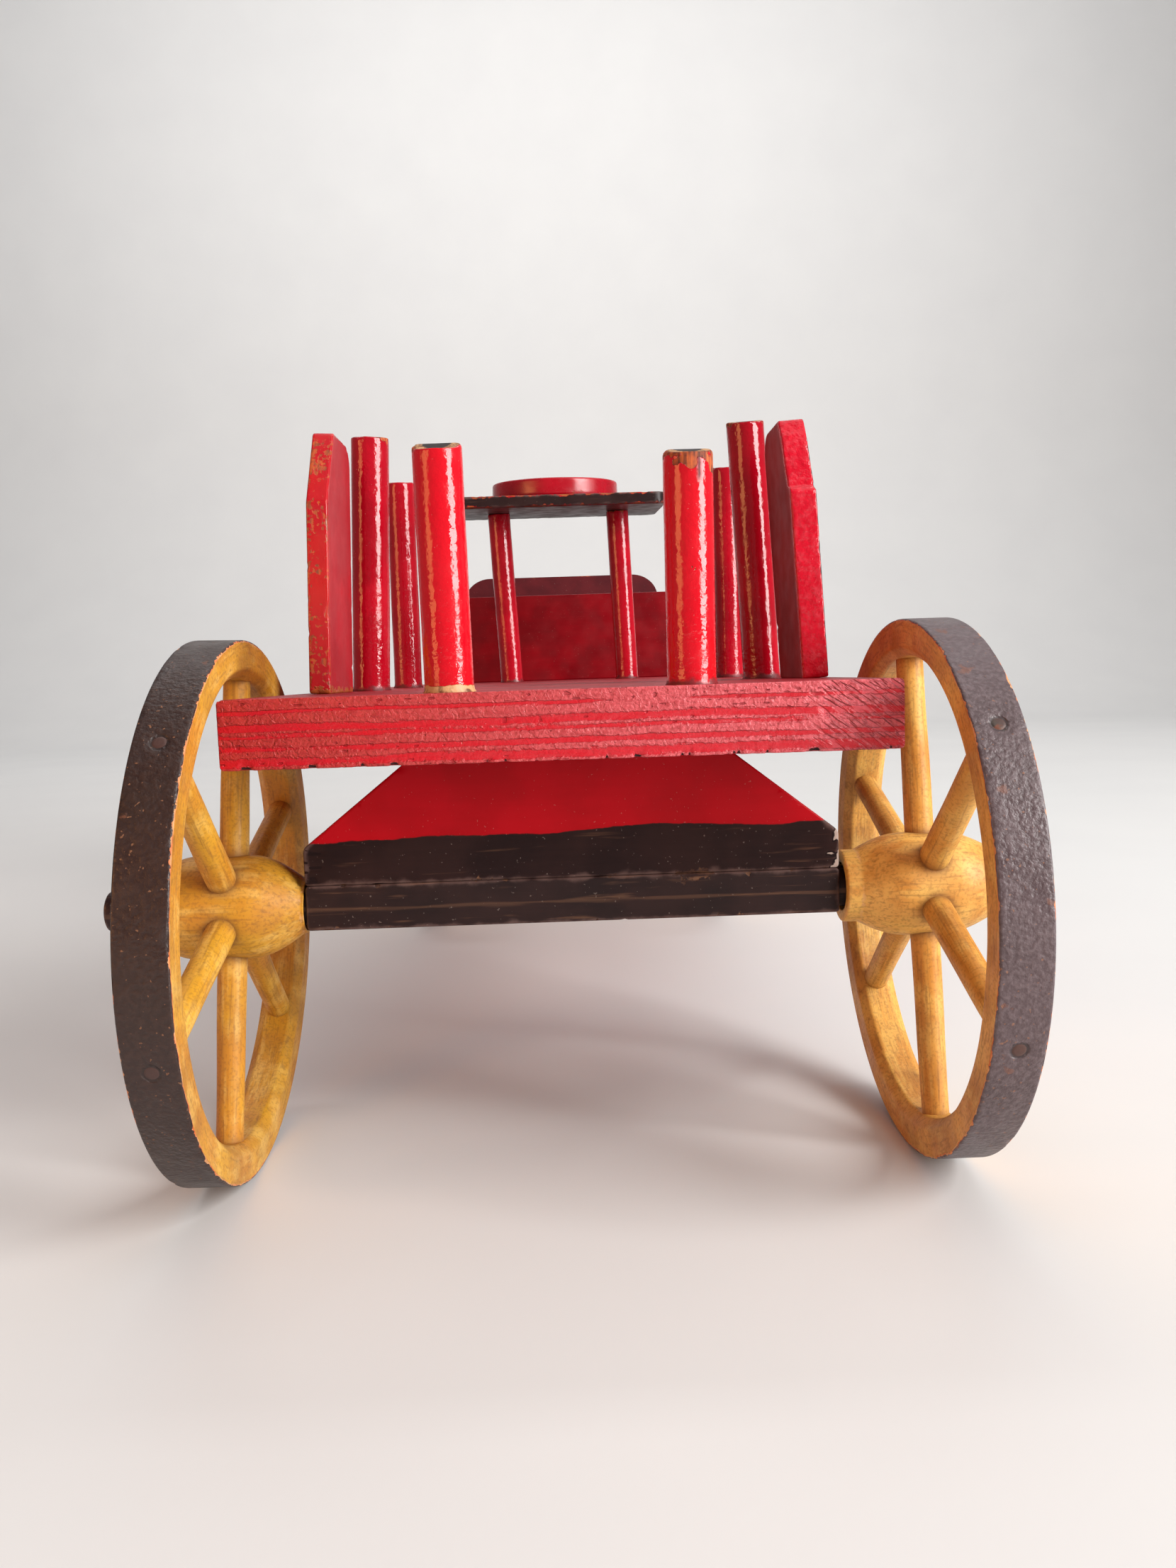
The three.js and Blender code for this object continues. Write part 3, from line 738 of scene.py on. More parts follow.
def seat_paint():
    """Black over red: the edges have worn through to red and then to wood."""
    g = Graph("seat_paint")
    layer = black_layer(g, gloss=0.36, wear=0.0, warm=0.2)
    layer.cover(wear_mask(g, 0.50), paint(g, RED, RED_DEEP, 0.3))
    layer.cover(wear_mask(g, 0.40), bare_wood(g, ORANGE_WOOD, TAN_DARK))
    # painted shade: the underside darkened to maroon and black
    layer.cover(g.step(g.attribute("under"), 0.4, 0.6) * 0.8, paint(g, MAROON, BLACK, 0.4))
    return layer.finish(specular=0.3)


def yellow_layer(g, base):
    """Ochre paint, paler in patches and darker as painted shade where the spokes meet hub and rim, with
    short dark grain ticks.
    """
    layer = paint(g, base, YELLOW_DEEP, YELLOW_GLOSS, grain=1.4e-4, ripples=8e-5)
    patches = g.noise(90, detail=4.0) * 0.6 + g.noise(0.7, where=g.grain) * 0.4
    layer.recolour(g.step(patches, 0.48, 0.62) * 0.5, YELLOW_PALE, YELLOW_GLOSS)
    ticks = g.step(g.noise(1.5, where=g.grain, detail=5.0), 0.54, 0.66)
    layer.recolour(ticks * 0.38, YELLOW_DIRT_AND_SHADE, 0.6)
    layer.recolour(g.step(g.noise(1100, detail=5.0), 0.48, 0.64) * 0.32, YELLOW_DIRT_AND_SHADE, 0.65)
    layer.recolour(g.step(g.noise(34), 0.52, 0.72) * 0.28, TAN_DARK, 0.6)
    # painted shade: darker on the hub beside each spoke and on the spokes at their ends
    layer.recolour(g.attribute("hollow") * 0.75, YELLOW_DIRT_AND_SHADE)
    return layer


def yellow_paint(name, base):
    g = Graph(name)
    layer = yellow_layer(g, base)
    paled = g.step(g.edge * 0.4 + g.noise(420) * 0.8, 0.74, 0.84)
    layer.recolour(paled * 0.5, TAN, 0.6)
    return layer.finish(specular=0.35)


def rim_paint(name, base, tread, tread_patches):
    """Yellow rim with a dark painted tread whose edge is chipped ragged, and one hairline split."""
    g = Graph(name)
    layer = yellow_layer(g, base)
    layer.recolour(g.step(g.noise(60, detail=6.0), 0.45, 0.70) * 0.35, YELLOW_DIRT_AND_SHADE)
    dark = paint(g, tread, g.mix(0.5, tread, BLACK_WARM), 0.40, grain=2e-5, ripples=1.1e-4)
    leather = g.noise(760)
    dark.height += leather * 3.4e-4
    dark.recolour(g.step(leather, 0.38, 0.68) * 0.45, tread_patches, 0.42)
    dark.recolour(specks(g, 900, 0.70) * 0.45, TREAD_SPECK)
    dark.recolour(g.step(g.noise(120, detail=6.0), 0.66, 0.70) * 0.5, TREAD_SCUFF, 0.6)
    split = g.step(g.attribute("split"), 0.75, 0.95)
    layer.recolour(split * 0.8, TAN_DARK)
    layer.sink(split, 1.5e-4)
    rough = g.noise(520, detail=4.0) * 0.5 + g.noise(90) * 0.6 - 0.55
    ragged = rough * 0.5 + g.attribute("tread")
    layer.cover(g.step(ragged, 0.445, 0.465), bare_wood(g, TAN, ORANGE_WOOD))
    layer.cover(g.step(ragged + g.noise(260) * 0.12, 0.595, 0.615), dark)
    # painted shade: a dark ring in the dent round each nail head
    nail = g.step(g.attribute("nail"), 0.55, 0.95)
    layer.cover(nail * 0.65, Layer(g, NAIL_RING_SHADE, 0.5, -6e-5))
    return layer.finish()


def steel(name, painted_over=False):
    """Dull aged steel with rust spots, and on the nails some of the tread's paint."""
    g = Graph(name)
    rusty = g.step(g.noise(620, detail=5.0), 0.48, 0.66)
    layer = Layer(g, g.mix(rusty, STEEL, RUST), g.step(rusty, 0, 1, 0.38, 0.72), g.noise(1600) * 3e-5)
    metal = g.step(rusty, 0, 1, 0.9, 0.1)
    if painted_over:
        painted = g.step(g.noise(31, detail=1.0), 0.44, 0.48)
        layer.cover(painted, paint(g, *NAIL_PAINT, 0.4))
        metal = metal * (1.0 - painted)
    return layer.finish(metal=metal)


# ---------- Turning shapes into pieces ----------
def store(mesh, name, values):
    values = np.asarray(values, np.float32)
    vector = values.ndim == 2
    layer = mesh.attributes.new(name, "FLOAT_VECTOR" if vector else "FLOAT", "POINT")
    layer.data.foreach_set("vector" if vector else "value", values.ravel())


def straight_grain(shape, along):
    """Coordinates that stretch a pattern along one of the piece's own axes."""
    scale = np.full(3, float(GRAIN_ACROSS))
    scale[along] = GRAIN_ALONG
    return shape.local * scale


def chips(shape, amount):
    """How deep each point is chipped, from 0 to 1, mostly along the arrises."""
    edge = np.exp(-shape.edge / EDGE_FADE)
    ragged = 0.5 * ripple(shape.points, 170) + 0.5 * ripple(shape.points, 520, 7.0)
    return smooth(edge * amount + ragged, 0.72, 1.0) * smooth(edge, 0.05, 0.4)


def make_piece(name, shape, material, body, nodes, grain, chipping=0.0, marks=None):
    mesh = bpy.data.meshes.new(name)
    mesh.from_pydata(shape.points.tolist(), [], shape.faces)
    solid = bmesh.new()
    solid.from_mesh(mesh)
    bmesh.ops.recalc_face_normals(solid, faces=solid.faces)
    solid.to_mesh(mesh)
    solid.free()
    mesh.shade_smooth()
    chipped = chips(shape, chipping) if chipping else np.zeros(len(shape.points))
    normals = np.array([v.normal for v in mesh.vertices])
    moved = shape.points - normals * (chipped * CHIP_DEPTH)[:, None]
    mesh.vertices.foreach_set("co", moved.astype(np.float32).ravel())
    mesh.update()
    store(mesh, "edge", np.exp(-shape.edge / EDGE_FADE))
    store(mesh, "chip", chipped)
    store(mesh, "grain", grain)
    for key, values in (marks or {}).items():
        store(mesh, key, values)
    mesh.materials.append(material)
    piece = bpy.data.objects.new(name, mesh)
    bpy.context.scene.collection.objects.link(piece)
    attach(piece, body)
    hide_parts(*nodes)


# ---------- Bed and posts ----------
# How far below the deck each smooth band of the bed's end lies, and its half width.
END_BANDS = [(0.0034, 0.0007), (0.0078, 0.0013), (0.0102, 0.0006), (0.0136, 0.0010), (0.0170, 0.0016)]


def make_bed():
    shape = board_from("bed", (0, -1, 0), arris=0.0004, step=0.0007, coarse=0.012)
    rear = shape.points[:, 1].min()
    low = shape.points[:, 2].min()
    at_end = np.exp(-(shape.points[:, 1] - rear) / 0.0006)
    flat = shape.points * (1, 0, 1)
    bands = ripple(flat, (10, 0, 330)) + 0.35 * ripple(flat, (60, 0, 800), 3.0)
    rough = smooth(bands, -0.25, 0.25)
    pits = smooth(ripple(flat, (420, 0, 1500), 5.0), 0.25, 0.55) * (0.35 + 0.65 * rough)
    band = np.zeros(len(flat))
    for depth, width in END_BANDS:
        wander = 0.0006 * ripple(flat * (1, 0, 0), 16, depth * 900)
        band = np.maximum(band, np.exp(-(((flat[:, 2] - DECK + depth + wander) / width) ** 2)))
    band *= smooth(ripple(flat, (22, 0, 130), 13.0), -0.70, -0.15)
    lumps = ripple(flat, (160, 0, 900), 11.0)
    slant = np.column_stack([flat[:, 0] + 1.3 * flat[:, 2], 0 * flat[:, 0], flat[:, 2] - 0.5 * flat[:, 0]])
    gouged = smooth(flat[:, 0] + 0.006 * ripple(flat, 300, 6.0), 0.066, 0.074)
    arris = np.exp(-(shape.points[:, 2] - low) / 0.0009) * at_end
    torn = ripple(flat, (230, 0, 0), 2.0) + 0.5 * ripple(flat, (900, 0, 0), 9.0)
    broken = smooth(torn, 0.0, 0.45) * arris
    depth = 0.00016 * pits + 0.00012 * lumps + 0.00030 * gouged + 0.00008 * band + 0.00014
    shape.points[:, 1] += at_end * depth
    shape.points[:, 1] += 0.0009 * broken
    shape.points[:, 2] += 0.0006 * broken
    marks = {
        "end": at_end, "pit": pits, "broken": broken, "band": band, "gouged": gouged,
        "lit_toward_right": smooth(flat[:, 0], -0.09, 0.09), "end_grain": flat * (90, 0, 1100),
        "slant": slant * (480, 0, 120),
    }
    make_piece(
        "plank_bed", shape, bed_paint(), "wagon_body", ["bed"],
        straight_grain(shape, 2), chipping=0.5, marks=marks,
    )


# How much of a post's hidden foot, sunk in the bed, is left out.
POST_FOOT_CUT = 0.002
# How far the worn end of a post falls towards the rear.
CROWN_SLOPE = {"rear_post_left": 0.0034, "middle_stake_right": 0.0016, "rear_post_right": 0.0022}


def make_post(node, material):
    """A hand-whittled dowel with a worn end and a thin collar of paint and glue on the deck."""
    foot, direction, length, radius = dowel_axis(node)
    start = foot + direction * POST_FOOT_CUT
    length -= POST_FOOT_CUT - (JOINT_GAP if node.startswith("seat") else 0)
    basis = frame_on(direction, (0, -1, 0))
    rounding = 0.0018 if node.startswith("rear") else 0.0010
    shape = placed(stick(radius, radius, 0, length, rounding, step=0.0010, segments=72), start, basis)
    reach, angle = polar(shape)
    away = np.column_stack([shape.local[:, :2] / np.maximum(reach, 1e-6)[:, None], 0 * reach])
    side = smooth(reach, 0.5 * radius, 0.9 * radius)
    height = shape.points[:, 2] - DECK
    collar = 0.0007 * np.exp(-np.maximum(height, 0) / 0.0005) * (height > -0.0005)
    wobble = (ripple(shape.points, (60, 60, 30)) - 0.8) * 0.00010
    wobble += (ripple(shape.points, (170, 170, 70)) - 0.6) * 0.00006
    worn = 0.0005 * smooth(ripple(shape.points, 260, 3.0), 0.1, 0.5)
    worn *= np.exp((shape.local[:, 2] - length) / 0.0012)
    moved = ((wobble - worn) * side + collar * side)[:, None] * away
    slope = CROWN_SLOPE.get(node, 0.0008) * smooth(shape.local[:, 0] / radius, -0.3, 1.0)
    moved[:, 2] -= slope * np.exp(np.minimum(shape.local[:, 2] - length, 0) / 0.0016)
    shape.points += moved @ basis
    crack = np.abs(angle - 0.35 - 0.10 * ripple(shape.local, (0, 0, 300), 2.0)) * radius
    cracked = np.exp(-((crack / 0.0006) ** 2)) * smooth(shape.local[:, 2], length - 0.011, length - 0.008)
    on_top = shape.local[:, 2] > length - 0.0005
    marks = {
        "foot": np.clip(1.0 - height / 0.0055, 0, 1),
        "top": np.clip(1.0 + (shape.local[:, 2] - length) / 0.009, 0, 1),
        "crown": smooth(-reach, -radius + 0.0004, -radius + 0.0011) * on_top,
        "core": smooth(-reach, -0.75 * radius, -0.35 * radius) * on_top,
        "crack": cracked * (node == "rear_post_right"),
    }
    name = node.replace("_post", "_dowel").replace("_stake", "_stake_dowel")
    grain = straight_grain(shape, 2)
    make_piece(name, shape, material, "wagon_body", [node], grain, chipping=0.55, marks=marks)


def make_posts():
    # painted light: the rear posts take a lighter red than the stakes
    glued = red_post("post_paint_glued", foot_bare=True, peeled=0.05, base=RED_LIT, deep=RED_VIVID)
    peeled = red_post("post_paint_peeled", foot_bare=False, peeled=0.56, base=RED_LIT, deep=RED_VIVID)
    plain = red_post("post_paint", foot_bare=False, peeled=0.0)
    special = {"rear_post_left": glued, "rear_post_right": peeled}
    for node in POSTS:
        make_post(node, special.get(node, plain))


def seated(shape):
    """Brings a board's foot down the thickness of a joint, on to the deck."""
    height = shape.points[:, 2] - DECK
    shape.points[:, 2] -= 0.9 * JOINT_GAP * (1 - smooth(height, 0.001, 0.003)) * (height > 0)
    return shape


def scoop(shape, from_rear, height):
    """Hollows the lower half of a sloping corner, down to a small ledge."""
    ledge = smooth(height, CORNER_FOOT - 0.0005, CORNER_FOOT + 0.0008)
    hollow = ledge * (1 - smooth(height, CORNER_FOOT + 0.002, CORNER_FOOT + 0.019))
    shape.points[:, 1] += 0.0026 * hollow * np.clip(1 - from_rear / 0.008, 0, 1)


def make_uprights():
    for side, material in (("left", upright_paint()), ("right", upright_paint_glossy())):
        node = f"side_upright_{side}"
        shape = seated(board_from(node))
        y = shape.points[:, 1]
        height = shape.points[:, 2] - DECK
        from_rear = y - y.min() - np.clip((height - CORNER_FOOT) / CORNER_HEIGHT, 0, 1) * CORNER_DEPTH
        away = np.abs(shape.local[:, 2] - (0 if side == "left" else np.ptp(shape.local[:, 2])))
        marks = {
            "rear": np.exp(-np.maximum(from_rear - 0.0014, 0) / 0.0006),
            "far": np.exp(-away / 0.0012),
            "foot": np.clip(1.0 - height / 0.006, 0, 1),
        }
        if side == "right":
            scoop(shape, from_rear, height)
        make_piece(
            f"upright_board_{side}", shape, material, "wagon_body", [node],
            straight_grain(shape, 0), chipping=0.8 if side == "left" else 0.6, marks=marks,
        )


def nail_spots(shape, spots):
    """1 in small round dents where nails have been painted over."""
    mark = np.zeros(len(shape.points))
    for x, z in spots:
        away = np.hypot(shape.points[:, 0] - x, shape.points[:, 2] - z)
        mark = np.maximum(mark, 1 - smooth(away, 0.0008, 0.0016))
    return mark


def make_boards():
    panel = seated(board_from("front_board", (0, -1, 0)))
    spots = nail_spots(panel, [(x, DECK + 0.006) for x in (-0.030, 0.004, 0.041)])
    rear = panel.points[:, 1].min()
    panel.points[:, 1] += 0.0004 * spots * (panel.points[:, 1] < rear + 0.0005)
    # painted shade: the front board and the footboard take darkened reds
    paint_front = red_board("front_board_paint", 0.28, 0.34, 0.05, RED_FRONT_SHADED, specular=0.25)
    make_piece(
        "front_panel", panel, paint_front, "wagon_body", ["front_board"],
        straight_grain(panel, 1), chipping=0.4,
    )
    normal = broadest_normal("footboard")
    dash = board_from("footboard", -normal * np.sign(normal[1]))
    ahead_of_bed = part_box("bed")[1].y + JOINT_GAP
    y = dash.points[:, 1]
    dash.points[:, 1] = np.where(dash.points[:, 2] < DECK, np.maximum(y, ahead_of_bed), y)
    paint_dash = red_board("footboard_paint", 0.30, 0.50, 0.12, WINE_SHADED, specular=0.2)
    make_piece(
        "dash_panel", dash, paint_dash, "wagon_body", ["footboard"],
        straight_grain(dash, 1), chipping=0.4,
    )


def make_seat():
    seat = board_from("seat_board", hint=(1, 0, 0), step=0.0014)
    up = unit(broadest_normal("seat_board"))
    under = 1.0 - smooth(seat.local[:, 2], 0.0004, 0.0012)
    make_piece(
        "seat_panel", seat, seat_paint(), "wagon_body", ["seat_board"],
        straight_grain(seat, 0), chipping=0.9, marks={"under": under},
    )
    low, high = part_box("seat_cushion")
    middle = np.array((low + high) / 2)
    points, _ = welded("seat_cushion")
    reach = (points - middle) @ up
    thick = float(np.ptp(reach))
    radius = np.linalg.norm(np.cross(points - middle, up), axis=1).max()
    foot = -0.9 * JOINT_GAP
    profile = [
        (0, foot), (radius - 0.0006, foot), (radius, 0.0012),
        (radius - 0.0004, thick - 0.0010), (radius * 0.5, thick - 0.0002), (0, thick),
    ]
    disc = turned(profile, edge=0.0014, step=0.0014, segments=160)
    disc = placed(disc, middle + up * float(reach.min()), frame_on(up, (1, 0, 0)))
    make_piece(
        "seat_disc", disc, red_board("cushion_paint", 0.30, 0.24), "wagon_body",
        ["seat_cushion"], straight_grain(disc, 0), chipping=0.3,
    )


# ---------- Running gear ----------
def make_bolster():
    shape = board_from("rear_bolster", (0, -1, 0), step=0.0010)
    low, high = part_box("rear_bolster")
    middle = (low.z + high.z) / 2
    shape.points[:, 2] = middle + (shape.points[:, 2] - middle) * (1 + 1.8 * JOINT_GAP / (high.z - low.z))
    x, _, z = shape.points.T
    line = low.z + LINE_HEIGHT + LINE_RISE * (x - low.x) / (high.x - low.x)
    from_side = np.minimum(x - low.x, high.x - x)
    in_kerfs = np.abs(np.sin((z - low.z) * 2300 + 1.5 * ripple(shape.points, 120)))
    reach = 0.0055 - from_side + 0.002 * ripple(shape.points, 400)
    left = 0.5 * (x < 0) * smooth(in_kerfs, 0.80, 0.99) * smooth(reach, 0, 0.001)
    right = (x > 0) * smooth(ripple(shape.points, 420) + 1.1 - from_side / 0.0028, 0.55, 0.75)
    kerf = np.maximum(left, right) * (z < line - 0.002)
    shape.points[:, 1] += 0.0003 * kerf * (shape.points[:, 1] < low.y + 0.001)
    marks = {"below": (line - z) / 0.004, "kerf": kerf}
    make_piece(
        "rear_bolster_block", shape, bolster_paint(), "wagon_body", ["rear_bolster"],
        straight_grain(shape, 1), chipping=0.6, marks=marks,
    )


def make_axle(node, body, material):
    beam = board_from(node, (0, -1, 0), step=0.0010)
    low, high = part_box(node)
    middle = np.array((low + high) / 2)
    radius = ARM_RADIUS[node]
    ends = (beam.points[:, 0].min(), beam.points[:, 0].max())
    arms = []
    for side, end, tip in zip((-1, 1), ends, (low.x, high.x)):
        inner = end - side * 0.004
        arm = stick(radius, radius, 0, abs(tip - inner), edge=0.0012, step=0.0015, segments=48)
        arms.append(placed(arm, (inner, middle[1], middle[2]), frame_on((side, 0, 0))))
    shape = merged([beam, *arms])
    grain = shape.points * (GRAIN_ALONG, GRAIN_ACROSS, GRAIN_ACROSS)
    line = np.exp(-(((shape.points[:, 2] - middle[2] + 0.0004) / 0.0011) ** 2))
    make_piece(
        f"{node}_tree", shape, material, body, [node], grain,
        chipping=0.5, marks={"line": line},
    )


def make_blocks():
    red = red_board("front_bolster_paint", wear=0.35, gloss=0.33, dusty=0.2)
    dark = black_board("front_gear_paint")
    plan = [
        ("front_bolster", "front_bolster_block", red, "red_paint", "wagon_body", (0, -1, 0)),
        ("pivot_block", "pivot_block_wood", dark, "black_paint", "front_gear", (0, -1, 0)),
        ("hound_left", "hound_bar_left", dark, "black_paint", "front_gear", (1, 0, 0)),
        ("hound_right", "hound_bar_right", dark, "black_paint", "front_gear", (1, 0, 0)),
    ]
    for node, name, material, slot, body, direction in plan:
        shape = board_from(node, direction)
        make_piece(name, shape, material, body, [node], straight_grain(shape, 1), chipping=0.5)


def make_tongue():
    shape = board_from("tongue", (1, 0, 0))
    red = red_board("tongue_paint", wear=0.46, gloss=0.24, dusty=0.2)
    grain = straight_grain(shape, 1)
    make_piece("tongue_bar", shape, red, "handle", ["tongue"], grain, chipping=0.7)
    dark = black_board("grip_paint", gloss=0.36, wear=0.40)
    make_dowel("handle_grip", "grip_dowel", dark, "handle", 0.0018)


def make_dowel(node, name, material, body, edge):
    foot, direction, length, radius = dowel_axis(node)
    shape = stick(radius, radius, 0, length, edge, step=0.0012, segments=48)
    placed(shape, foot, frame_on(direction, (0, 1, 0.2)))
    make_piece(name, shape, material, body, [node], straight_grain(shape, 2), chipping=0.3)


# ---------- Wheels ----------
def wheel_place(name):
    """Centre of a wheel, and its own axes: up, forward or back, and outboard along the axle."""
    joint = next(j for j in frame["joints"] if j["name"] == f"{name}_spin")
    return np.array(joint["pos_m"]), frame_on(WHEELS[name]["side"] * np.array(joint["axis"]), (0, 0, 1))


def spoke_angles(name):
    """Turns from straight up, about the wheel's outboard axis; the first spoke leans forward."""
    wheel = WHEELS[name]
    first = -wheel["side"] * math.radians(wheel["turn"])
    step = 2 * math.pi / wheel["kind"]["spokes"]
    return [first - wheel["side"] * i * step for i in range(wheel["kind"]["spokes"])]


def spoke_basis(basis, turn):
    """Axes for a piece that points out along a spoke."""
    return frame_on(math.cos(turn) * basis[0] + math.sin(turn) * basis[1], basis[2])


def around(shape, rate):
    """Pattern coordinates that run round the axle and are fine across."""
    r, angle = polar(shape)
    across = (r + 1.7 * shape.local[:, 2]) * GRAIN_ACROSS
    return np.column_stack([rate * np.cos(angle), rate * np.sin(angle), across])


def make_rim(name, material):
    kind = WHEELS[name]["kind"]
    half = kind["tread"] / 2
    outer = kind["radius"]
    inner = outer - kind["rim"]
    chamfer = kind["chamfer"]
    profile = [
        (inner, -half + chamfer), (inner + chamfer, -half), (outer, -half), (outer, half),
        (inner + chamfer, half), (inner, half - chamfer),
    ]
    shape = turned(profile, edge=0.0007, step=0.0009, segments=kind["segments"], closed=True)
    place, basis = wheel_place(name)
    r, angle = polar(shape)
    out = np.column_stack([np.cos(angle), np.sin(angle), 0 * angle])
    over_tread = smooth(r, outer - 0.0004, outer - 0.0001)
    to_side = half - np.abs(shape.local[:, 2])
    tread = 0.5 + np.where(r > outer - 0.0005, to_side + 0.0003, r - outer + 0.0004) / 0.006
    dimple = np.zeros(len(r))
    for turn in spoke_angles(name):
        off = np.abs((angle - turn + math.pi) % (2 * math.pi) - math.pi) * outer
        away = np.hypot(off, shape.local[:, 2])
        dimple = np.maximum(dimple, smooth(-away, -NAIL_RADIUS - 0.0012, -NAIL_RADIUS + 0.0002))
    weak = 0.5 * np.exp(-np.abs(to_side) / 0.0012)
    nick = smooth(ripple(shape.local, (260, 260, 90), 4.0) + weak, 0.55, 0.9)
    drop = over_tread * (0.00035 * dimple + 0.0005 * nick * np.exp(-to_side / 0.0010))
    shape.local -= out * (drop + RIM_INSET)[:, None]
    shape.local[:, 2] += 0.00012 * ripple(shape.local, (45, 45, 10), 1.0) * (r < outer - 0.001)
    placed(shape, place, basis)
    crack = outer - kind["rim"] * 0.42 + 0.0006 * ripple(out, 3.1, 2.0)
    split = np.exp(-np.abs(r - crack) / 0.0004) * smooth(np.cos(angle - 2.4), 0.2, 0.5)
    marks = {
        "tread": np.clip(tread, 0, 1), "nail": dimple * over_tread,
        "split": split * (to_side < 0.0003) * (shape.local[:, 2] < 0),
    }
    make_piece(
        f"{name}_felloe", shape, material, f"{name}_wheel", [f"{name}_rim"],
        around(shape, rate=9.0), chipping=0.25, marks=marks,
    )


def hub_profile(kind, hub):
    """The barrel swells from a short neck at each end to the spokes."""
    neck = hub["neck"]
    inboard = hub["inboard"]
    outboard = kind["length"] - inboard
    rise = kind["hub"] - neck
    swell = [(k / 8 * hub["swell"], neck + rise * math.sin(k / 8 * math.pi / 2)) for k in range(9)]
    inner = [(radius, hub["neck_length"] - inboard + along) for along, radius in swell]
    outer = [(radius, outboard - hub["neck_length"] - along) for along, radius in reversed(swell)]
    return [
        (kind["bore"], -inboard), (neck, -inboard), *inner,
        *outer, (neck, outboard), (kind["bore"], outboard),
    ]


def make_hub(name, material):
    wheel = WHEELS[name]
    kind = wheel["kind"]
    profile = hub_profile(kind, wheel["hub"])
    shape = turned(profile, edge=0.0006, step=0.0010, segments=120, closed=True)
    r, _ = polar(shape)
    out = shape.local * (1, 1, 0) / r[:, None]
    outside = smooth(r, kind["bore"] + 0.0008, kind["bore"] + 0.0014)
    tool = ripple(shape.local * (0, 0, 1), 650) * 0.00003 + ripple(shape.local, 75) * 0.00010 - 0.00012
    shape.local += out * (tool * outside)[:, None]
    placed(shape, *wheel_place(name))
    # painted shade on the hub beside each spoke
    hollow = spoke_shadow(shape, name) * outside
    make_piece(
        f"{name}_barrel", shape, material, f"{name}_wheel", [f"{name}_hub"],
        straight_grain(shape, 2), chipping=0.2, marks={"hollow": hollow},
    )


def spoke_shadow(shape, name):
    """1 on the hub right beside a spoke, fading away from it."""
    kind = WHEELS[name]["kind"]
    shade = np.zeros(len(shape.local))
    for turn in spoke_angles(name):
        along = np.array([math.cos(turn), math.sin(turn), 0])
        ahead = shape.local @ along
        away = np.linalg.norm(shape.local - ahead[:, None] * along, axis=1)
        near = np.exp(-np.maximum(away - kind["at_hub"], 0) / 0.0010)
        shade = np.maximum(shade, near * (ahead > 0))
    return shade


def make_spokes(name, material):
    kind = WHEELS[name]["kind"]
    start = kind["hub"] - 0.005
    end = kind["radius"] - 0.0035
    parts = []
    grains = []
    joint_shades = []
    place, basis = wheel_place(name)
    for i, turn in enumerate(spoke_angles(name)):
        spoke = stick(kind["at_hub"], kind["at_rim"], start, end, edge=0.0006, step=0.0013, segments=40)
        grains.append(straight_grain(spoke, 2) + i * 13.0)
        r, _ = polar(spoke)
        away = spoke.local * (1, 1, 0) / np.maximum(r, 1e-6)[:, None]
        carved = ripple(spoke.local + i * 0.1, (150, 150, 40)) * 0.00022 - 0.00022
        spoke.local += away * (carved * smooth(r, 0.001, 0.002))[:, None]
        # painted shade on each spoke where it meets the hub and the rim
        to_hub = np.exp(-np.maximum(spoke.local[:, 2] - kind["hub"], 0) / 0.0012)
        to_rim = np.exp(-np.maximum(kind["radius"] - kind["rim"] - spoke.local[:, 2], 0) / 0.0012)
        joint_shades.append(np.maximum(to_hub, to_rim))
        parts.append(placed(spoke, place, spoke_basis(basis, turn)))
    nodes = [f"{name}_spoke_{i + 1}" for i in range(kind["spokes"])]
    make_piece(
        f"{name}_spokes", merged(parts), material, f"{name}_wheel", nodes,
        np.vstack(grains), chipping=0.2, marks={"hollow": np.concatenate(joint_shades)},
    )


def make_nails(name, material):
    """Flat nail heads sunk in the tread over the spokes' ends."""
    kind = WHEELS[name]["kind"]
    place, basis = wheel_place(name)
    profile = [
        (0, 0), (NAIL_RADIUS, 0.0003), (NAIL_RADIUS, 0.0009), (NAIL_RADIUS * 0.6, 0.00125), (0, 0.0013),
    ]
    heads = []
    for turn in spoke_angles(name):
        head = turned(profile, edge=0.0003, step=0.0005, segments=28)
        outward_basis = spoke_basis(basis, turn)
        foot = place + outward_basis[2] * (kind["radius"] - 0.00145)
        heads.append(placed(head, foot, outward_basis))
    shape = merged(heads)
    grain = straight_grain(shape, 2)
    make_piece(f"{name}_nails", shape, material, f"{name}_wheel", [], grain)


def make_wheels():
    # painted light: the left rims take the shaded tread and the right rims the lit one
    rims = {
        -1: rim_paint("rim_paint_left", YELLOW, *TREAD_SHADED),
        1: rim_paint("rim_paint_right", YELLOW_LIT, *TREAD_LIT),
    }
    # painted light: the right-hand wheels and hubs take lighter yellows
    woods = {
        -1: yellow_paint("wheel_paint_left", YELLOW),
        1: yellow_paint("wheel_paint_right", YELLOW_LIT),
    }
    hubs = {-1: woods[-1], 1: yellow_paint("hub_paint_lit_right", YELLOW_LIT_HUB)}
    nails = steel("nail_steel", painted_over=True)
    pins = steel("pin_steel")
    for name, wheel in WHEELS.items():
        make_rim(name, rims[wheel["side"]])
        make_hub(name, hubs[wheel["side"]])
        make_spokes(name, woods[wheel["side"]])
        make_nails(name, nails)
        body = "wagon_body" if name.startswith("rear") else "front_gear"
        make_dowel(f"{name}_linchpin", f"{name}_pin", pins, body, 0.0005)
    make_dowel("tongue_pin", "tongue_pin_rod", pins, "front_gear", 0.0006)
    frame["nodes"]["kingpin"].material_slots[0].material = pins


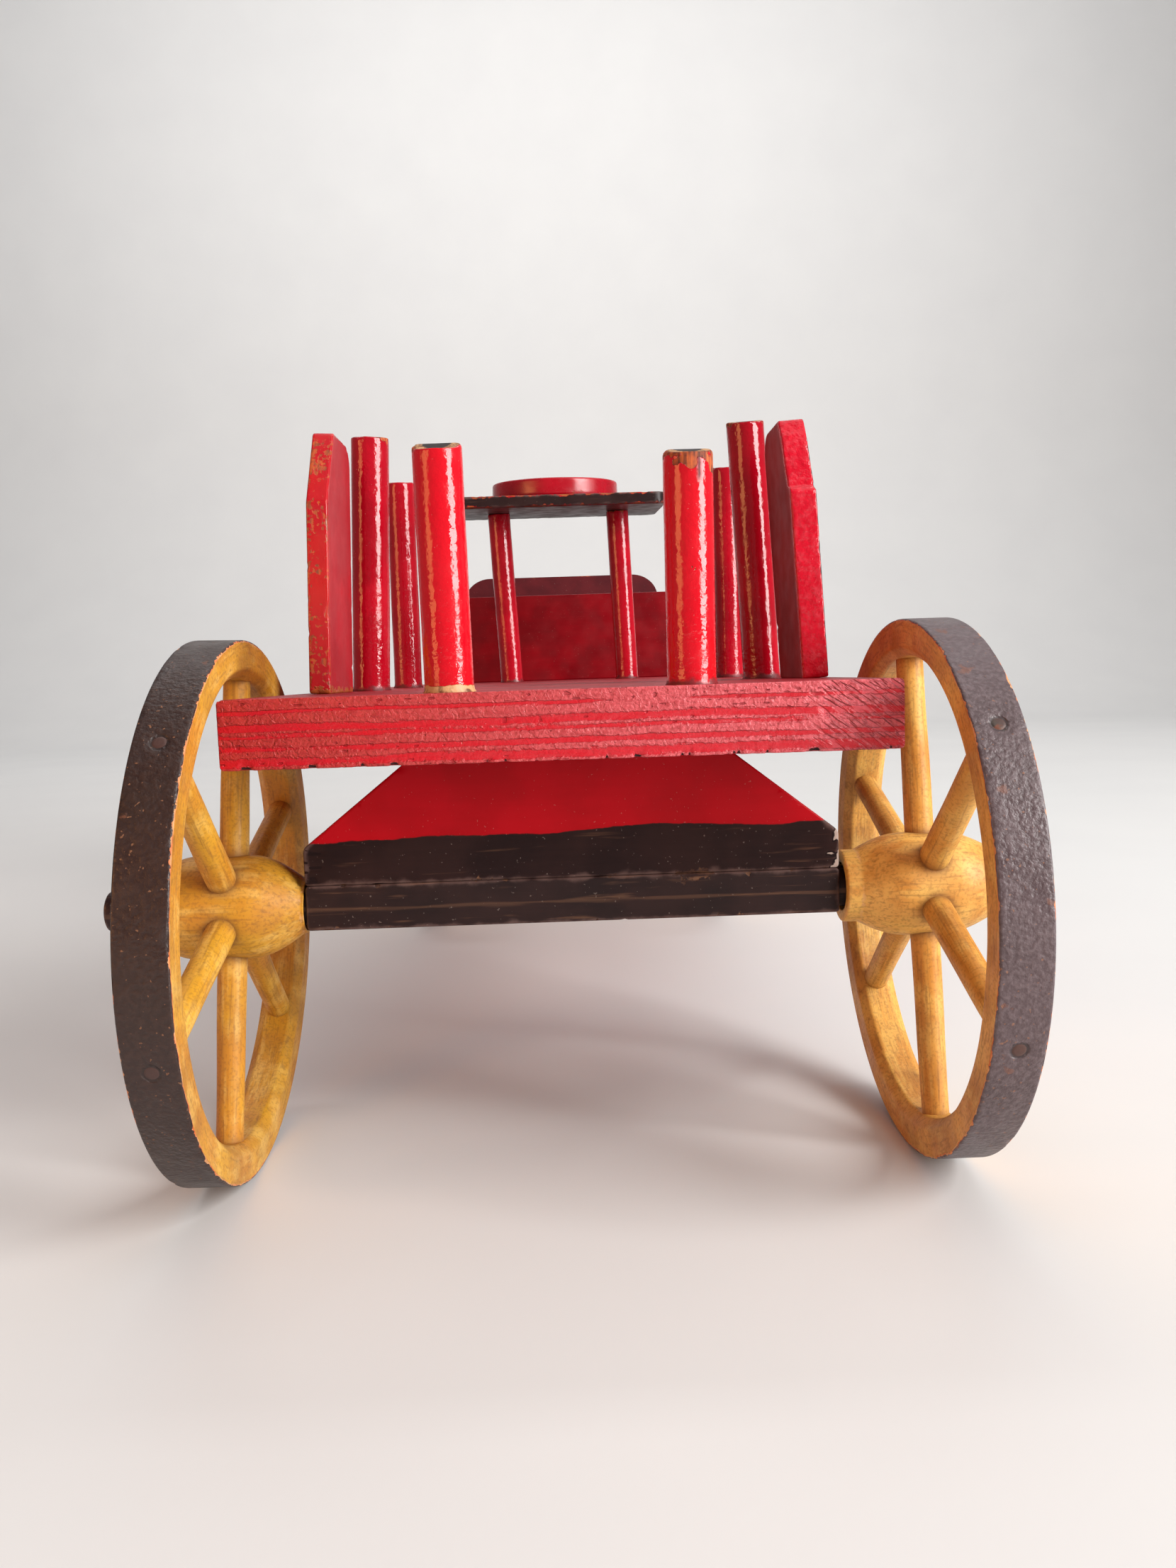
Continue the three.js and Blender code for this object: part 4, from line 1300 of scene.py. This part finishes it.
# ---------- Studio ----------
def make_floor():
    """A pale floor that curves up into a backdrop behind the wagon."""
    radius = 1.0
    back = 3.0
    profile = [(-5.0, 0.0), (-1.0, 0.0), (back - radius, 0.0)]
    profile += [
        (back - radius + radius * math.sin(t), radius - radius * math.cos(t))
        for t in np.linspace(0.1, math.pi / 2, 16)
    ]
    profile.append((back, 4.5))
    points = [(x, y, z - 0.0002) for y, z in profile for x in (-6.0, 6.0)]
    faces = [(2 * i, 2 * i + 1, 2 * i + 3, 2 * i + 2) for i in range(len(profile) - 1)]
    mesh = bpy.data.meshes.new("studio_floor")
    mesh.from_pydata(points, [], faces)
    mesh.shade_smooth()
    g = Graph("floor_paint")
    layer = Layer(g, g.mix(g.noise(6), *FLOOR), 0.75, g.noise(300) * 2e-5)
    mesh.materials.append(layer.finish())
    floor = bpy.data.objects.new("studio_floor", mesh)
    bpy.context.scene.collection.objects.link(floor)


def area_light(name, place, target, width, height, watts, tint):
    data = bpy.data.lights.new(name, "AREA")
    data.shape = "RECTANGLE"
    data.size = width
    data.size_y = height
    data.energy = watts
    data.color = tint
    light = bpy.data.objects.new(name, data)
    light.location = place
    light.rotation_mode = "QUATERNION"
    light.rotation_quaternion = (Vector(target) - Vector(place)).to_track_quat("-Z", "Y")
    bpy.context.scene.collection.objects.link(light)


def make_lights():
    """A wide window to the right, soft light overhead and behind, and a warm panel to the left."""
    area_light("window", (1.60, -1.30, 0.88), (0.05, -0.3, 0.15), 0.95, 1.6, 71, (1.0, 0.98, 0.96))
    area_light("ceiling", (0.5, -0.3, 2.0), (0.0, -0.1, 0.1), 1.8, 1.8, 9, (1.0, 0.99, 0.97))
    area_light("backdrop_wash", (0.0, 1.2, 2.6), (0.0, 2.8, 0.6), 3.0, 0.8, 45, (1.0, 1.0, 1.0))
    area_light("warm_panel", (-1.40, -1.35, 0.46), (0.0, -0.3, 0.15), 0.70, 0.76, 9, (1.0, 0.42, 0.15))
    world = bpy.data.worlds.new("studio_air")
    world.use_nodes = True
    backdrop = world.node_tree.nodes["Background"]
    backdrop.inputs["Color"].default_value = (0.80, 0.84, 0.90, 1.0)
    backdrop.inputs["Strength"].default_value = 0.20
    bpy.context.scene.world = world
    bpy.context.scene.view_settings.view_transform = "Standard"


CAMERA_PLACE = (0.00125, -0.68541, 0.1465)
CAMERA_ANGLES = (0.93, 5.6, 1.87)
FOCAL_LENGTH = 26.04


def make_camera():
    """Close behind the wagon and just above its deck, turned right, tipped down and slightly rolled."""
    yaw, pitch, roll = map(math.radians, CAMERA_ANGLES)
    ahead = Vector((math.sin(yaw) * math.cos(pitch), math.cos(yaw) * math.cos(pitch), -math.sin(pitch)))
    right = ahead.cross(Vector((0, 0, 1))).normalized()
    up = right.cross(ahead)
    right, up = right * math.cos(roll) - up * math.sin(roll), up * math.cos(roll) + right * math.sin(roll)
    data = bpy.data.cameras.new("camera")
    data.lens = FOCAL_LENGTH
    data.clip_start = 0.01
    camera = bpy.data.objects.new("camera", data)
    turn = Matrix((right, up, -ahead)).transposed()
    camera.matrix_world = Matrix.Translation(CAMERA_PLACE) @ turn.to_4x4()
    bpy.context.scene.collection.objects.link(camera)
    bpy.context.scene.camera = camera


make_bed()
make_posts()
make_uprights()
make_boards()
make_seat()
make_bolster()
make_axle("rear_axle", "wagon_body", axle_paint("rear_axle_paint"))
make_axle("front_axle", "front_gear", axle_paint("front_axle_paint"))
make_blocks()
make_tongue()
make_wheels()
make_floor()
make_lights()
make_camera()
